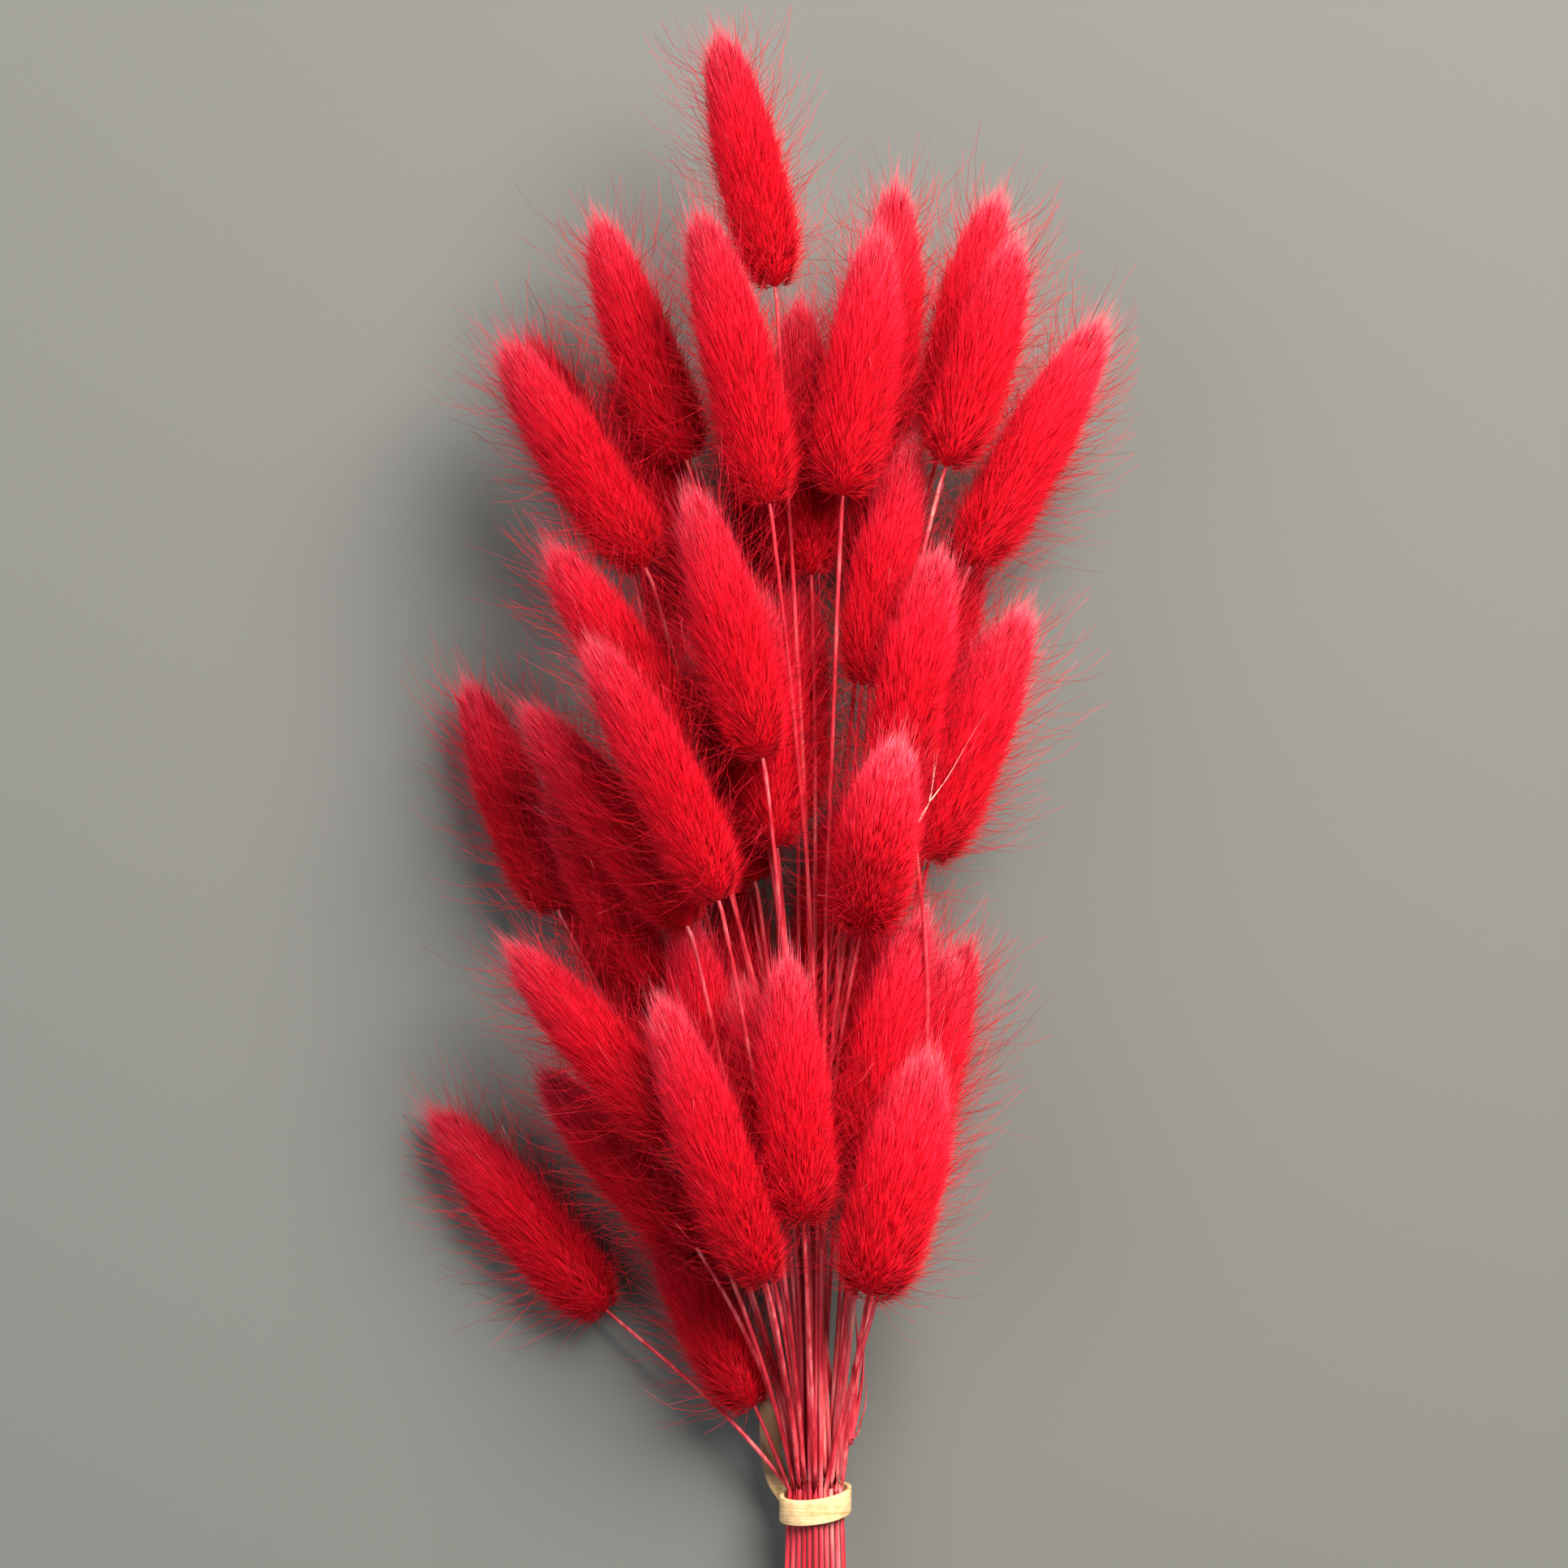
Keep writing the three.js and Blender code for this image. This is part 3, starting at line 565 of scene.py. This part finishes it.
def grow_hairs(head, rng, rod, count, lean, spread, reach, pull):
    """Hairs on the skin. lean is their angle to it and reach their length, base to tip."""
    share, angle = spread_roots(count, rng, *HAIR_RANGE)
    slant = head.slant(share)
    ahead, out = head.ahead(share), head.out(share, angle)
    flow = ahead * column(np.cos(slant)) + out * column(np.sin(slant))
    brush = column(np.clip((share - BRUSH_FROM) / BRUSH_OVER, 0, 1) * BRUSH)
    flow = unit(flow * (1 - brush) + ahead * brush)
    normal = out * column(np.cos(slant)) - ahead * column(np.sin(slant))
    tilt = np.radians(np.interp(share, LEAN_AT, lean) + rng.normal(0, spread, count))
    stray = np.cross(flow, normal) * column(rng.normal(0, spread / STRAY_DEGREES, count))
    course = unit(flow * column(np.cos(tilt)) + normal * column(np.sin(tilt)) + stray)
    uneven = np.interp(share, UNEVEN_AT, UNEVEN)
    length = np.interp(share, REACH_AT, reach) * MM * np.exp(rng.normal(0, uneven))
    roots = head.middle(share) + out * column(SKIN * UNDER_SKIN * head.width(share))
    ends = roots + course * column(length)
    ends, shared = gather_tufts(head, rng, share, angle, ends, pull)
    tone = OWN_SHADE * rng.random(count) + TUFT_SHADE * shared
    bends = (normal * ARCH_OUT - ahead * ARCH_BACK) * column(length)
    # painted light: hairs nearer the head's tip are lighter, as where light passes through
    glow = TIP_GLOW * share**2
    root_v = ROOT_SHADE + glow * ROOT_GLOW + rng.normal(0, ROOT_VARIES, count)
    end_v = END_SHADE + glow + rng.normal(0, END_VARIES, count)
    root_v, end_v = np.clip(root_v, *ROOT_LIMITS), np.clip(end_v, *END_LIMITS)
    widths = HAIR_WIDTH * rng.uniform(*HAIR_WIDTHS, count)
    tones = tone * (1 - STRAND_TONE)
    return lay_strands(rod, roots, ends, bends, widths, tones, root_v, end_v)


print("a wisp is", 2 * HAIR_WIDTH / MM, "mm thick at its root")

# %% [markdown]
# ## Awns
# Each small flower also bears a long fine awn. Awns stand further out than the hairs, bend a
# little either way and make the loose halo round a head. The longest are about 24 mm.

# %% Awns
AWN_WIDTH = 0.058 * MM  # half of its thickness
AWN_WIDTHS = (0.8, 1.3)
AWN_RANGE, AWN_EVENNESS = (0.03, 0.98), 0.4  # closer together towards the head's ends
AWN_LEAN_AT, AWN_LEAN = (0, 0.4, 1), (68, 54, 28)  # degrees from the head's line
AWN_LEAN_VARIES, AWN_STRAY = 16, 0.26
AWN_LENGTH, AWN_LENGTH_VARIES = 14.5, 0.3  # the middle length in mm, and its spread
AWN_LIMITS = (6, 24)
AWN_ARCH, AWN_ARCH_VARIES = 0.07, 0.6
# awns are painted darker at the root, as painted shade, and lighter at the end, as painted light
AWN_ROOT_SHADES = (0.02, 0.2)  # on the map's v
AWN_END_SHADE, AWN_END_VARIES, AWN_END_LIMITS = 0.3, 0.2, (0.03, 0.98)


def grow_awns(head, rng, count):
    """The long fine bristles of the halo."""
    share, angle = spread_roots(count, rng, *AWN_RANGE, AWN_EVENNESS)
    ahead, out = head.ahead(share), head.out(share, angle)
    lean = np.interp(share, AWN_LEAN_AT, AWN_LEAN)
    tilt = np.radians(lean + rng.normal(0, AWN_LEAN_VARIES, count))
    stray = np.cross(ahead, out) * column(rng.normal(0, AWN_STRAY, count))
    course = unit(ahead * column(np.cos(tilt)) + out * column(np.sin(tilt)) + stray)
    length = rng.lognormal(math.log(AWN_LENGTH), AWN_LENGTH_VARIES, count)
    length = np.clip(length, *AWN_LIMITS) * MM
    roots = head.middle(share) + out * column(SKIN * head.width(share))
    ends = np.clip(roots + course * column(length), LOWEST, HIGHEST)
    arch = rng.normal(1, AWN_ARCH_VARIES, count) * AWN_ARCH
    bends = (out - ahead) * column(length * arch)
    root_v = rng.uniform(*AWN_ROOT_SHADES, count)
    end_v = np.clip(rng.normal(AWN_END_SHADE, AWN_END_VARIES, count), *AWN_END_LIMITS)
    widths = AWN_WIDTH * rng.uniform(*AWN_WIDTHS, count)
    tones = rng.random(count) * (1 - STRAND_TONE)
    return lay_strands(LONG, roots, ends, bends, widths, tones, root_v, end_v)


print("an awn is", 2 * AWN_WIDTH / MM, "mm thick")

# %% [markdown]
# ## From arrays to pieces
# A head's body, hairs and awns become one mesh, with the map that the fur's finish reads. A
# finished piece rides on the frame, takes its finish's slot and stands for its plain solid.


# %% Pieces
def join_parts(name, parts):
    """One mesh from several sets of points, triangles and map places."""
    offset, points, faces, places = 0, [], [], []
    for spots, triangles, uv in parts:
        points.append(spots)
        faces.append(triangles + offset)
        places.append(uv)
        offset += len(spots)
    faces = np.concatenate(faces)
    mesh = bpy.data.meshes.new(name)
    mesh.from_pydata(np.concatenate(points), [], faces)
    layer = mesh.uv_layers.new(name=FUR_MAP)
    layer.data.foreach_set("uv", np.concatenate(places)[faces.ravel()].astype("f").ravel())
    mesh.shade_smooth()
    return mesh


def add_piece(mesh, material, slot, *stands_for):
    """Puts a finished mesh in the scene, riding on the frame in its solids' place."""
    mesh.materials.append(material)
    piece = bpy.data.objects.new(mesh.name, mesh)
    bpy.context.scene.collection.objects.link(piece)
    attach(piece, "root")
    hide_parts(*stands_for)


# %% [markdown]
# ## Every head
# Most hairs are straight spikes of a few faces, and about one in twelve stands off more and
# has a bend. A larger head gets more of them. The heads on the underside are hardly seen, so they
# get about half. Each head has its own seed, so it differs from the others and comes out the
# same on every run.

# %% Grow every head
HIDDEN = range(35, 47)  # the heads against the table, under the others
HIDDEN_SHARE = 0.55
COMMON_SIZE = 58 * 8.5 * MM**2  # a middling head's length times its half width
HAIRS, LOOSE_HAIRS, AWNS = 6800, 600, 430  # on a middling head
# angles to the skin in degrees and lengths in mm, from the base to the tip
CLOSE_COAT = {"lean": (34, 18, 10), "spread": 6, "reach": (3.2, 7.0, 9.0, 5.5), "pull": 0.26}
LOOSE_COAT = {"lean": (56, 40, 24), "spread": 12, "reach": (4.0, 7.5, 9.5, 7.5), "pull": 0.2}

total = 0
for name in TAILS:
    number = int(name[-2:])
    head = heads[name]
    rng = np.random.default_rng(number)
    share = HIDDEN_SHARE if number in HIDDEN else 1.0
    crop = share * head.length * head.half / COMMON_SIZE
    parts = [
        inner_body(head),
        grow_hairs(head, rng, STRAIGHT, int(HAIRS * crop), **CLOSE_COAT),
        grow_hairs(head, rng, BENT, int(LOOSE_HAIRS * crop), **LOOSE_COAT),
        grow_awns(head, rng, int(AWNS * share)),
    ]
    mesh = join_parts(f"{name}_fur", parts)
    total += len(mesh.polygons)
    add_piece(mesh, fur, "bunny_tail", name)
print("triangles of fur:", total)

# %% [markdown]
# ## The straws
# The stalk under each head is a thin dried straw. The dye takes unevenly along its fibres,
# so its finish has streaks of lighter and darker red, and a dull shine. A noise that is
# stretched along the bundle gives the streaks without a map, because every straw runs that
# way.

# %% Dyed straw
straw, tree = new_material("dyed_dried_straw")
place = add_node(tree, "ShaderNodeTexCoord")
# streaks about half a millimetre wide and some centimetres long
stretch = add_node(
    tree,
    "ShaderNodeMapping",
    {"Vector": place.outputs["Object"], "Scale": (1.0, 0.012, 1.0)},
)
streaks = add_node(
    tree,
    "ShaderNodeTexNoise",
    {"Vector": stretch.outputs["Vector"], "Scale": 1800.0, "Detail": 2.0, "Roughness": 0.6},
)
stalk_tone = add_node(
    tree,
    "ShaderNodeTexNoise",
    {"Vector": stretch.outputs["Vector"], "Scale": 420.0, "Detail": 1.0},
)
mixed = add_node(
    tree,
    "ShaderNodeMath",
    {0: streaks.outputs["Fac"], 1: 0.4, 2: stalk_tone.outputs["Fac"]},
    operation="MULTIPLY_ADD",
)
shades = add_node(tree, "ShaderNodeValToRGB", {"Fac": mixed.outputs["Value"]})
set_ramp(
    shades,
    [(0.38, "#780a18"), (0.55, "#ae1a2a"), (0.72, "#cc3543"), (0.88, "#e05f66"), (1.0, "#ee9289")],
)
ribs = add_node(
    tree,
    "ShaderNodeBump",
    {"Strength": 0.35, "Distance": 0.2 * MM, "Height": streaks.outputs["Fac"]},
)
finish_material(
    tree,
    {
        "Base Color": shades.outputs["Color"],
        "Roughness": 0.42,
        "Specular IOR Level": 0.35,
        "Normal": ribs.outputs["Normal"],
    },
)
print("straw has", len(tree.nodes), "nodes")

# %% [markdown]
# ## A straw for every stalk
# One tube with many cuts across it is laid along each stalk's line, which a smooth curve
# through the ring middles gives. A tube was chosen over a curve with a bevel because every
# second of its corners can be drawn in a little for the ribs, and its cut end can be hollow,
# as a straw's is.

# %% Straws
STRAW_SIDES = 10
STRAW_CUTS = 44
RIB = 0.92  # how far every second corner is drawn in
INTO_HEAD = 4 * MM  # how far a straw goes on inside its head
STRAW_SIZE = 1.04  # over the solid's width, because a faceted solid is a little thin
WALL = 0.4  # of the half width
HOLLOW_SHARE = 0.012  # of the straw's length
FACES_DOWN = -0.9  # a cap's normal at the cut end is under this
LINE_STEPS = 6  # between two corners of a smooth line


def make_straw():
    """A straw's tube: a ribbed rod with a hollow at its cut end, z = 0."""
    bm = make_rod(STRAW_SIDES, STRAW_CUTS, end_width=1)
    turn = 2 * math.pi / STRAW_SIDES
    for vert in bm.verts:
        if round(math.atan2(vert.co.y, vert.co.x) / turn) % 2:
            vert.co.xy *= RIB
    caps = [face for face in bm.faces if len(face.verts) == STRAW_SIDES]
    cut_end = [face for face in caps if face.normal.z < FACES_DOWN]
    bmesh.ops.inset_region(bm, faces=cut_end, thickness=WALL)
    inside = bmesh.ops.extrude_face_region(bm, geom=cut_end)["geom"]
    deeper = [g for g in inside if isinstance(g, bmesh.types.BMVert)]
    bmesh.ops.translate(bm, verts=deeper, vec=(0, 0, HOLLOW_SHARE))
    bmesh.ops.delete(bm, geom=cut_end, context="FACES")
    return read_bmesh(bm)


def smooth_line(corners):
    """A Catmull-Rom curve through the corners."""
    before, after = 2 * corners[0] - corners[1], 2 * corners[-1] - corners[-2]
    padded = np.vstack([before, corners, after])
    spots = []
    for a, b, c, d in zip(padded, padded[1:], padded[2:], padded[3:]):
        for t in np.arange(LINE_STEPS) / LINE_STEPS:
            square = (2 * a - 5 * b + 4 * c - d) * t**2
            cube = (3 * b - a - 3 * c + d) * t**3
            spots.append((2 * b + (c - a) * t + square + cube) / 2)
    return np.array([*spots, corners[-1]])


def lay_rod(rod, line, halves, flat=1.0, twist=0.0):
    """Lays a rod along a curved line, with a half width at each of the line's points.

    flat is its thickness over its width, and twist turns it by that many radians on its way.
    """
    points, faces = rod
    steps = np.r_[0, np.cumsum(np.linalg.norm(np.diff(line, axis=0), axis=1))]
    steps /= steps[-1]
    share = np.clip(points[:, 2], 0, 1)
    place = np.stack([np.interp(share, steps, axis) for axis in line.T], axis=1)
    ahead_line = unit(np.gradient(line, axis=0))
    ahead = unit(np.stack([np.interp(share, steps, axis) for axis in ahead_line.T], axis=1))
    side = unit(np.cross(ahead, (0, 0, 1)))
    over = np.cross(side, ahead)
    half = column(np.interp(share, steps, halves))
    turn = column(twist * share)
    x, y = column(points[:, 0]), column(points[:, 1]) * flat
    across, up = x * np.cos(turn) - y * np.sin(turn), x * np.sin(turn) + y * np.cos(turn)
    return place + half * (across * side + up * over), faces


STRAW = make_straw()
total = 0
for name in TAILS:
    middles, halves = tail_lines[name]
    into = middles[HEAD_RINGS - 1] + heads[name].ahead(np.zeros(1))[0] * INTO_HEAD
    corners = np.vstack([into, middles[HEAD_RINGS - 1 : -1]])[::-1]
    line = smooth_line(corners)
    corner_steps = np.linspace(0, 1, len(corners))
    corner_halves = np.r_[halves[HEAD_RINGS - 1], halves[HEAD_RINGS - 1 : -1]][::-1]
    widths = np.interp(np.linspace(0, 1, len(line)), corner_steps, corner_halves) * STRAW_SIZE
    points, faces = lay_rod(STRAW, line, widths)
    points[:, 2] = np.maximum(points[:, 2], 0)  # none of it is below the table
    mesh = bpy.data.meshes.new(f"{name}_straw")
    mesh.from_pydata(points, [], faces)
    mesh.shade_smooth()
    total += len(faces)
    add_piece(mesh, straw, "bunny_tail", name)
print("triangles of straw:", total)

# %% [markdown]
# ## The rubber band
# A flat natural rubber band holds the stalks, and its slack turn lies behind them. Natural
# rubber is cream, with a dull, slightly mottled skin. The slack turn, which lies in the
# stalks' shade, is painted darker brown: a painted shade.

# %% Rubber
# where the painted shade on the slack turn begins, and where it is whole
PAINTED_SHADE_FROM, PAINTED_SHADE_TO = 110 * MM, 114 * MM  # above the cut ends
rubber, tree = new_material("natural_rubber")
place = add_node(tree, "ShaderNodeTexCoord")
mottle = add_node(
    tree,
    "ShaderNodeTexNoise",
    {"Vector": place.outputs["Object"], "Scale": 380.0, "Detail": 4.0, "Roughness": 0.6},
)
# a band is sliced from a tube, which leaves fine lines round it, under a millimetre apart
round_the_band = add_node(
    tree,
    "ShaderNodeMapping",
    {"Vector": place.outputs["Object"], "Scale": (0.03, 1.0, 0.03)},
)
slice_lines = add_node(
    tree,
    "ShaderNodeTexNoise",
    {"Vector": round_the_band.outputs["Vector"], "Scale": 1500.0, "Detail": 1.0},
)
surface = add_node(
    tree,
    "ShaderNodeMix",
    {"Factor": 0.5, "A": mottle.outputs["Fac"], "B": slice_lines.outputs["Fac"]},
    data_type="FLOAT",
)
gum = add_node(tree, "ShaderNodeValToRGB", {"Fac": surface.outputs["Result"]})
set_ramp(gum, [(0.35, "#c99c60"), (0.5, "#dfbc89"), (0.65, "#eed2a2")])
# painted shade: the slack turn behind the stalks is painted darker brown, as it lies in their
# shade
height_on_bundle = add_node(tree, "ShaderNodeSeparateXYZ", {"Vector": place.outputs["Object"]})
slack_turn_shade = add_node(
    tree,
    "ShaderNodeMapRange",
    {
        "Value": height_on_bundle.outputs["Y"],
        "From Min": cad_low.y + PAINTED_SHADE_FROM,
        "From Max": cad_low.y + PAINTED_SHADE_TO,
    },
)
gum_and_painted_shade = add_node(
    tree,
    "ShaderNodeMix",
    {
        "Factor": slack_turn_shade.outputs["Result"],
        "A": gum.outputs["Color"],
        "B": linear("#7d5c3b"),
    },
    data_type="RGBA",
)
skin_bump = add_node(
    tree,
    "ShaderNodeBump",
    {"Strength": 0.3, "Distance": 0.2 * MM, "Height": surface.outputs["Result"]},
)
finish_material(
    tree,
    {
        "Base Color": gum_and_painted_shade.outputs["Result"],
        "Roughness": 0.5,
        "IOR": 1.52,
        "Normal": skin_bump.outputs["Normal"],
    },
)
print("rubber has", len(tree.nodes), "nodes")

# %% [markdown]
# ## The band itself
# The solid's shape is right, so a merged copy of it is used: its flat faces are joined, and
# its sharp edges are rounded a little, as cut rubber's are.


# %% Rubber band
def merged_copy(node):
    """A bmesh of a frame node with its loose triangles joined."""
    bm = bmesh.new()
    bm.from_mesh(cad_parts[node].data)
    bmesh.ops.remove_doubles(bm, verts=bm.verts, dist=SAME_POINT)
    return bm


FLAT_ANGLE, SHARP_ANGLE = math.radians(2), math.radians(50)
EDGE_ROUNDING = 0.15 * MM

bm = merged_copy("rubber_band")
bmesh.ops.dissolve_limit(bm, angle_limit=FLAT_ANGLE, verts=bm.verts, edges=bm.edges)
sharp = [e for e in bm.edges if e.is_manifold and e.calc_face_angle() > SHARP_ANGLE]
bmesh.ops.bevel(
    bm,
    geom=sharp,
    offset=EDGE_ROUNDING,
    affect="EDGES",
    segments=2,
    profile=0.5,
    material=-1,
)
bmesh.ops.triangulate(bm, faces=bm.faces)
mesh = bpy.data.meshes.new("natural_rubber_band")
bm.to_mesh(mesh)
bm.free()
mesh.shade_smooth()
add_piece(mesh, rubber, "rubber_band", "rubber_band")
print("triangles in the rubber band:", len(mesh.polygons))

# %% [markdown]
# ## The leaf sheath's finish
# Beside the stalks on the right hangs what is left of a leaf sheath. It is thin and papery,
# has veins along it, and took the same dye. As on the straws, a stretched noise draws the
# veins and raises them a little.

# %% Dried leaf
leaf, tree = new_material("dyed_dried_leaf")
place = add_node(tree, "ShaderNodeTexCoord")
# veins about a third of a millimetre apart that run along the blade
stretch = add_node(
    tree,
    "ShaderNodeMapping",
    {"Vector": place.outputs["Object"], "Scale": (1.0, 0.04, 1.0)},
)
veins = add_node(
    tree,
    "ShaderNodeTexNoise",
    {"Vector": stretch.outputs["Vector"], "Scale": 1500.0, "Detail": 3.0},
)
blade_tone = add_node(tree, "ShaderNodeValToRGB", {"Fac": veins.outputs["Fac"]})
set_ramp(blade_tone, [(0.3, "#8a0e1c"), (0.48, "#d02a3e"), (0.68, "#f7616a")])
vein_bump = add_node(
    tree,
    "ShaderNodeBump",
    {"Strength": 0.4, "Distance": 0.2 * MM, "Height": veins.outputs["Fac"]},
)
finish_material(
    tree,
    {
        "Base Color": blade_tone.outputs["Color"],
        "Roughness": 0.45,
        "Normal": vein_bump.outputs["Normal"],
    },
)
print("leaf has", len(tree.nodes), "nodes")

# %% [markdown]
# ## The leaf sheath
# The sheath is torn into a few thin strands that twist round each other. Each could be cut
# from a flat sheet, but a flattened rod that narrows to its end gives a closed blade at
# once. Its line is a few points in shares of the sheath's box, so it stays with the frame.

# %% Leaf sheath
BLADE = read_bmesh(make_rod(sides=6, cuts=18, end_width=0.3))
BLADE_THICKNESS = 0.22  # over its width
# each blade: its line in shares of the sheath's box, its half widths in mm, and its twist
SHEATH_BLADES = [
    ([(0.0, 0.0, 0.1), (0.12, 0.22, 0.3), (0.3, 0.45, 0.55), (0.42, 0.67, 0.75),
      (0.3, 0.85, 0.9), (0.24, 0.99, 1.0)], (0.6, 1.0, 1.1, 0.9, 0.5, 0.08), 0.4),
    ([(0.05, 0.02, 0.0), (0.3, 0.2, 0.2), (0.6, 0.42, 0.45), (0.72, 0.62, 0.6),
      (0.66, 0.8, 0.8), (0.72, 0.9, 0.9)], (0.5, 0.7, 0.75, 0.65, 0.45, 0.15), 1.2),
    ([(0.4, 0.12, 0.3), (0.78, 0.25, 0.35), (0.86, 0.42, 0.5), (0.6, 0.56, 0.62)],
     (0.12, 0.22, 0.2, 0.08), 1.0),
    ([(0.04, 0.28, 0.2), (0.08, 0.5, 0.4), (0.04, 0.69, 0.6)], (0.25, 0.25, 0.06), 0.4),
    ([(0.1, 0.04, 0.3), (0.45, 0.1, 0.5), (0.64, 0.2, 0.6), (0.5, 0.28, 0.65)],
     (0.3, 0.32, 0.25, 0.1), 2.0),
    ([(0.66, 0.78, 0.8), (0.76, 0.93, 0.9), (0.66, 0.96, 0.95)], (0.12, 0.12, 0.05), 1.0),
]


def lay_in_box(node, shares):
    """Points given as shares of a node's box."""
    low, high = (np.array(corner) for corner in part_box(node))
    return low + np.array(shares) * (high - low)


def mesh_of_rods(name, rods):
    """One smooth mesh from several laid rods."""
    bm = bmesh.new()
    for points, faces in rods:
        part = bpy.data.meshes.new("part")
        part.from_pydata(points, [], faces)
        bm.from_mesh(part)
        bpy.data.meshes.remove(part)
    mesh = bpy.data.meshes.new(name)
    bm.to_mesh(mesh)
    bm.free()
    mesh.shade_smooth()
    return mesh


def curved_rod(node, shares, half_widths, flat, twist):
    """A blade along a curve in a node's box, with half widths in mm."""
    line = smooth_line(lay_in_box(node, shares))
    spread = np.linspace(0, 1, len(line))
    halves = np.interp(spread, np.linspace(0, 1, len(half_widths)), half_widths) * MM
    return lay_rod(BLADE, line, halves, flat, twist)


blades = [
    curved_rod("dried_leaf_sheath", shares, half_widths, BLADE_THICKNESS, twist)
    for shares, half_widths, twist in SHEATH_BLADES
]
mesh = mesh_of_rods("dried_leaf_blades", blades)
add_piece(mesh, leaf, "dried_leaf", "dried_leaf_sheath")
print("triangles in the leaf sheath:", len(mesh.polygons))

# %% [markdown]
# ## The broken awn's finish
# A broken-off floret lies on the heads at the right. The dye reached its bristles more than
# its foot, so the colour runs from cream at the foot to pink at the far ends. The distance
# from the foot, along the box's diagonal, drives the colour, and a fine noise breaks it up.

# %% Awn finish
foot_corner, far_corner = (np.array(corner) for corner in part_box("broken_awn"))
diagonal = far_corner - foot_corner
floret_length = float(np.linalg.norm(diagonal[:2]))
floret_course = (diagonal[0] / floret_length, diagonal[1] / floret_length, 0.0)
pale_straw, tree = new_material("half_dyed_dried_awn")
place = add_node(tree, "ShaderNodeTexCoord")
from_foot = add_node(
    tree,
    "ShaderNodeMapping",
    {"Vector": place.outputs["Object"], "Location": tuple(-foot_corner)},
)
along_floret = add_node(
    tree,
    "ShaderNodeVectorMath",
    {0: from_foot.outputs["Vector"], 1: floret_course},
    operation="DOT_PRODUCT",
)
fibres = add_node(
    tree, "ShaderNodeTexNoise", {"Vector": place.outputs["Object"], "Scale": 900.0, "Detail": 2.0}
)
reach = add_node(
    tree,
    "ShaderNodeMapRange",
    {"Value": along_floret.outputs["Value"], "From Min": 0.0, "From Max": floret_length},
)
faded = add_node(
    tree,
    "ShaderNodeMath",
    {0: fibres.outputs["Fac"], 1: 0.2, 2: reach.outputs["Result"]},
    operation="MULTIPLY_ADD",
)
dye_run = add_node(tree, "ShaderNodeValToRGB", {"Fac": faded.outputs["Value"]})
set_ramp(dye_run, [(0.1, "#fff0e4"), (0.3, "#ffd2c6"), (0.45, "#f9a8a2"), (1.0, "#f07f86")])
finish_material(tree, {"Base Color": dye_run.outputs["Color"], "Roughness": 0.4})
print("the broken awn is", round(floret_length / MM, 1), "mm long")

# %% [markdown]
# ## The broken awn
# A thick foot forks into a long bristle and two short ones. The same blade as the sheath's
# is laid along each of them, nearly round this time.

# %% Broken awn
BRANCH_THICKNESS = 0.8  # over its width
# each branch, from the foot up: its line in shares of the awn's box, and half widths in mm
BRANCHES = [
    ([(0, 0, 0.1), (0.1, 0.1, 0.3), (0.19, 0.2, 0.5)], (0.42, 0.4, 0.24)),
    ([(0.17, 0.18, 0.48), (0.31, 0.3, 0.62), (0.45, 0.42, 0.7), (0.72, 0.71, 0.65), (1, 1, 0.5)],
     (0.2, 0.18, 0.15, 0.1, 0.06)),
    ([(0.17, 0.18, 0.48), (0.22, 0.36, 0.75), (0.25, 0.64, 0.95)], (0.2, 0.16, 0.07)),
    ([(0.2, 0.28, 0.65), (0.24, 0.42, 0.85), (0.3, 0.67, 0.9)], (0.14, 0.12, 0.07)),
]
branches = [
    curved_rod("broken_awn", shares, half_widths, BRANCH_THICKNESS, 0)
    for shares, half_widths in BRANCHES
]
mesh = mesh_of_rods("broken_forked_awn", branches)
add_piece(mesh, pale_straw, "awn", "broken_awn")
print("triangles in the broken awn:", len(mesh.polygons))
